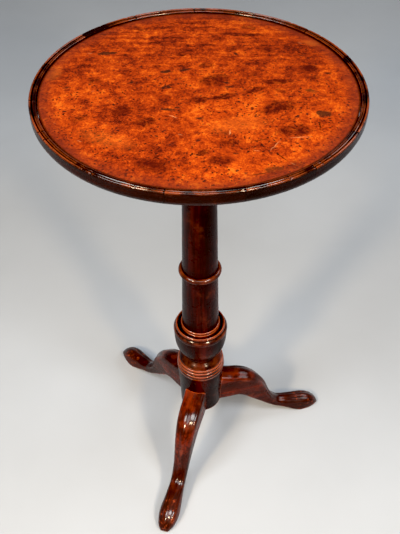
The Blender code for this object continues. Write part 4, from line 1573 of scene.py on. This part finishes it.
@dataclass
class SpringCatch:
    """The catch under the top: a plate, a case on it, and a sprung bolt with a knob on its tail rod."""

    bolt_z: float
    half_width: float = 0.006
    half_tall: float = 0.003
    nose_y: float = -0.045
    back_y: float = -0.080
    rod_radius: float = 0.0015
    rod_end_y: float = -0.118
    chamber_y: float = -0.098
    coil_radius: float = 0.0026
    wire_radius: float = 0.0004
    turns: int = 7
    screw_x: float = 0.016
    screw_ys: tuple[float, float] = (-0.1015, -0.0625)
    screw: Screw = Screw("catch_screw", 0.0028, 0.0015, 0.0115, BRASS)

    def local_box(self, node: str, shop: Workshop) -> tuple[Place, Place]:
        """A node's corners about the pillar's axis."""
        low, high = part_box(node)
        return tuple(low - shop.axis), tuple(high - shop.axis)

    def build(self, shop: Workshop) -> None:
        """Fit the plate, the case, the spring, the bolt and the knob."""
        self.plate(shop)
        self.case(shop)
        self.spring(shop)
        self.bolt(shop)
        self.knob(shop)

    def plate(self, shop: Workshop) -> None:
        """The plate and its four screws."""
        low, high = self.local_box("catch_plate", shop)
        places = {}
        for n, y in enumerate(self.screw_ys, 1):
            for side in Side:
                at = (side.value * self.screw_x, y, low[2])
                places[f"{side.tag}_{n}"] = Matrix.Translation(at) @ UPWARD
        plate = eased(carved(slab("plate", low, high), *self.screw.holes(places.values())), 0.00025)
        shop.fit("brass_catch_plate", plate, BRASS, Body.TOP, ["catch_plate"], grain=ALONG_Y)
        for n, (tag, place) in enumerate(places.items()):
            self.screw.drive(shop, tag, place, Body.TOP, 15 + 40 * n)

    def case(self, shop: Workshop) -> None:
        """The case, bored from the front for the bolt and through its back for the rod."""
        low, high = self.local_box("catch_case", shop)
        play = 0.0004
        half, tall = self.half_width + play, self.half_tall + play
        back, past, z = self.chamber_y, 0.01, self.bolt_z
        room = slab("room", (-half, back, z - tall), (half, high[1] + past, z + tall))
        hole = rod(self.rod_radius + play, low[1] - past, back + past, Axis.Y, 32, (0, z))
        case = eased(carved(slab("case", low, high), room, hole), 0.0005)
        shop.fit("brass_catch_case", case, BRASS, Body.TOP, ["catch_case"], grain=ALONG_Y)

    def spring(self, shop: Workshop) -> None:
        """The coil, between the case's end wall and the bolt's shoulder."""
        room = self.wire_radius + GAP
        start, end = self.chamber_y + room, self.back_y - room
        steps = 20 * self.turns
        pitch = (end - start) / (2 * pi * self.turns)
        rings = []
        for n in range(steps + 1):
            t = 2 * pi * self.turns * n / steps
            out = Vector((cos(t), 0, sin(t)))
            centre = Vector((0, start + (end - start) * n / steps, self.bolt_z)) + self.coil_radius * out
            run = Vector((-self.coil_radius * sin(t), pitch, self.coil_radius * cos(t))).normalized()
            across = run.cross(out)
            ring = circle(self.wire_radius, 10)
            rings.append([centre + u * out + v * across for u, v in ring])
        mesh = loft("spring", rings)
        made = shop.fit("coil_spring", mesh, STEEL, None, ["catch_spring"], grain=ALONG_Y)
        ends = [shop.axis + Vector((0, y, self.bolt_z)) for y in (start + room, end - room)]
        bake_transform(made)

    def bolt(self, shop: Workshop) -> None:
        """The bolt, bevelled below its nose, with its tail rod."""
        low, high = self.bolt_z - self.half_tall, self.bolt_z + self.half_tall
        outline = [(self.back_y, low), (self.back_y, high), (self.nose_y - 0.0005, high)]
        outline += [(self.nose_y, high - 0.0005), (self.nose_y, low + 0.0035), (self.nose_y - 0.0035, low)]
        bar = prism("bolt", outline, -self.half_width, self.half_width, Axis.X)
        tail = rod(self.rod_radius, self.rod_end_y, self.back_y + 0.003, Axis.Y, 32, (0, self.bolt_z))
        bar = eased(carved(bar, tail, joined=True), 0.0003)
        shop.fit("brass_bolt", bar, BRASS, Body.BOLT, ["catch_bolt"], grain=ALONG_Y)

    def knob(self, shop: Workshop) -> None:
        """The turned knob, bored for the rod."""
        length, stem, ball, depth, sides = 0.0135, 0.0028, 0.0055, 0.0060, 48
        bore = self.rod_radius + GAP
        made = Contour((0, length)).curve((0.35 * ball, length - 0.0002), (0.75 * ball, length - 0.0010))
        made.curve((ball, length - 0.0035), (0.8 * ball, length - 0.0065), (stem, length - 0.0085))
        made.line((stem, 0.0022))
        made.curve((stem + 0.0008, 0.0016), (stem + 0.0011, 0.0008), (stem + 0.0007, 0), pieces=4)
        made.line((bore, 0), (bore, depth), (0, depth))
        place = Matrix.Translation((0, self.rod_end_y + depth - GAP, self.bolt_z)) @ BACKWARD
        mesh = turned("knob", made.points, sides)
        shop.fit("brass_knob", mesh, BRASS, Body.BOLT, ["catch_knob"], place, grain=UPRIGHT)


@dataclass(frozen=True)
class Lamp:
    """A disc of light that faces the table, from so many degrees round from +X and over the horizon."""

    name: str
    azimuth: float
    elevation: float
    reach: float
    size: float
    power: float
    colour: Colour

    def build(self, target: Vector) -> None:
        """Hang the lamp at its reach from a target."""
        lamp = bpy.data.lights.new(self.name, "AREA")
        lamp.shape = "DISK"
        lamp.size = self.size
        lamp.energy = self.power
        lamp.color = self.colour
        made = bpy.data.objects.new(self.name, lamp)
        turn, lift = radians(self.azimuth), radians(self.elevation)
        out = Vector((cos(lift) * cos(turn), cos(lift) * sin(turn), sin(lift)))
        made.location = target + self.reach * out
        made.rotation_euler = out.to_track_quat("Z", "Y").to_euler()
        bpy.context.scene.collection.objects.link(made)


@dataclass
class Studio:
    """A pale floor, soft lights and the camera."""

    floor_radius: float = 7.0
    floor_colour: Colour = (0.505, 0.545, 0.590)
    sky_stops: tuple[tuple[float, Colour], ...] = ((0.02, (0.24, 0.26, 0.28)), (0.42, (0.07, 0.08, 0.09)))
    azimuth: float = 16.4
    distance: float = 0.8258
    height: float = 1.2103
    pitch: float = 44.53
    roll: float = -0.4
    lens: float = 53.43
    sensor: float = 36.0
    black: float = 0.012
    aim: float = 0.45
    lamps: tuple[Lamp, ...] = (
        Lamp("key_softbox", 226.0, 50.0, 2.2, 0.75, 26.0, (1.0, 0.99, 0.97)),
        Lamp("right_softbox", 334.0, 48.0, 2.2, 0.70, 21.0, (1.0, 1.0, 1.0)),
        Lamp("key_glint", 250.0, 34.0, 2.0, 0.28, 26.0, (1.0, 0.76, 0.50)),
        Lamp("right_glint", 316.0, 33.0, 2.0, 0.24, 20.0, (1.0, 0.76, 0.50)),
        Lamp("back_fill", 40.0, 35.0, 2.8, 1.40, 14.0, (0.95, 0.97, 1.0)),
        Lamp("front_fill", 286.0, 58.0, 2.6, 1.40, 27.0, (0.93, 0.96, 1.0)),
    )

    def build(self, shop: Workshop) -> None:
        """Make them all."""
        self.floor()
        self.sky()
        self.camera(shop.axis)
        for lamp in self.lamps:
            lamp.build(Vector((0, 0, self.aim)))
        view = bpy.context.scene.view_settings
        view.view_transform = "Standard"
        view.look = "None"
        view.use_curve_mapping = True
        view.curve_mapping.black_level = (self.black,) * 3
        view.curve_mapping.update()

    def floor(self) -> None:
        """A broad round floor with a faint unevenness."""
        inner, outer, under = 1.5, self.floor_radius, -0.02
        mesh = turned("floor", [(0, 0), (inner, 0), (outer, 0), (outer, under), (0, under)], 96)
        sheet = Sheet("floor_paint")
        where = sheet.node("ShaderNodeTexCoord").outputs["Object"]
        tint = sheet.noise(where, 2.2, 4.0).rising(0.3, 0.7)
        darker = tuple(0.93 * part for part in self.floor_colour)
        colour = sheet.mix(tint, darker, self.floor_colour)
        sheet.set(Base_Color=colour, Roughness=0.85, Specular_IOR_Level=0.2)
        mesh.materials.append(sheet.material)
        made = bpy.data.objects.new("studio_floor", mesh)
        bpy.context.scene.collection.objects.link(made)
        made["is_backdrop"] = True

    def sky(self) -> None:
        """A soft light all round: pale at the horizon, dimmer overhead."""
        world = bpy.data.worlds.new("studio")
        tree = Tree(world)
        rise = tree.split(tree.node("ShaderNodeTexCoord").outputs["Generated"])[2]
        light = tree.node("ShaderNodeBackground", inputs={"Color": tree.ramp(rise, self.sky_stops)})
        tree.node("ShaderNodeOutputWorld", inputs={"Surface": light.outputs[0]})
        bpy.context.scene.world = world

    def camera(self, axis: Vector) -> None:
        """The camera, looking down on the top from the front right."""
        data = bpy.data.cameras.new("camera")
        data.lens = self.lens
        data.sensor_width = self.sensor
        data.clip_start = 0.01
        made = bpy.data.objects.new("camera", data)
        turn = radians(self.azimuth)
        made.location = axis + Vector((self.distance * sin(turn), -self.distance * cos(turn), self.height))
        tip = Matrix.Rotation(pi / 2 - radians(self.pitch), 3, "X")
        roll = Matrix.Rotation(radians(self.roll), 3, "Z")
        made.rotation_euler = (Matrix.Rotation(turn, 3, "Z") @ (tip @ roll)).to_euler()
        bpy.context.scene.collection.objects.link(made)
        bpy.context.scene.camera = made


def write_sizes() -> None:
    """Bring the view layer up to date."""
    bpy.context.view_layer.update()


def main() -> None:
    """Build every sub-assembly in order, then the studio."""
    logging.basicConfig(level=logging.INFO, format="%(name)s: %(message)s")
    low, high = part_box("pillar")
    shop = Workshop(Vector((0.0, (low.y + high.y) / 2, 0.0)))
    pillar = TurnedPillar()
    pillar.build(shop)
    CabrioleLegs(pillar).build(shop)
    DishedTop().build(shop)
    block = TiltBlock()
    block.build(shop)
    IronPlate().build(shop)
    Bearers(block).build(shop)
    SpringCatch(block.bolt_z).build(shop)
    Studio().build(shop)
    LOG.info("%d pieces made", shop.count)
    write_sizes()


if __name__ == "__main__":
    main()
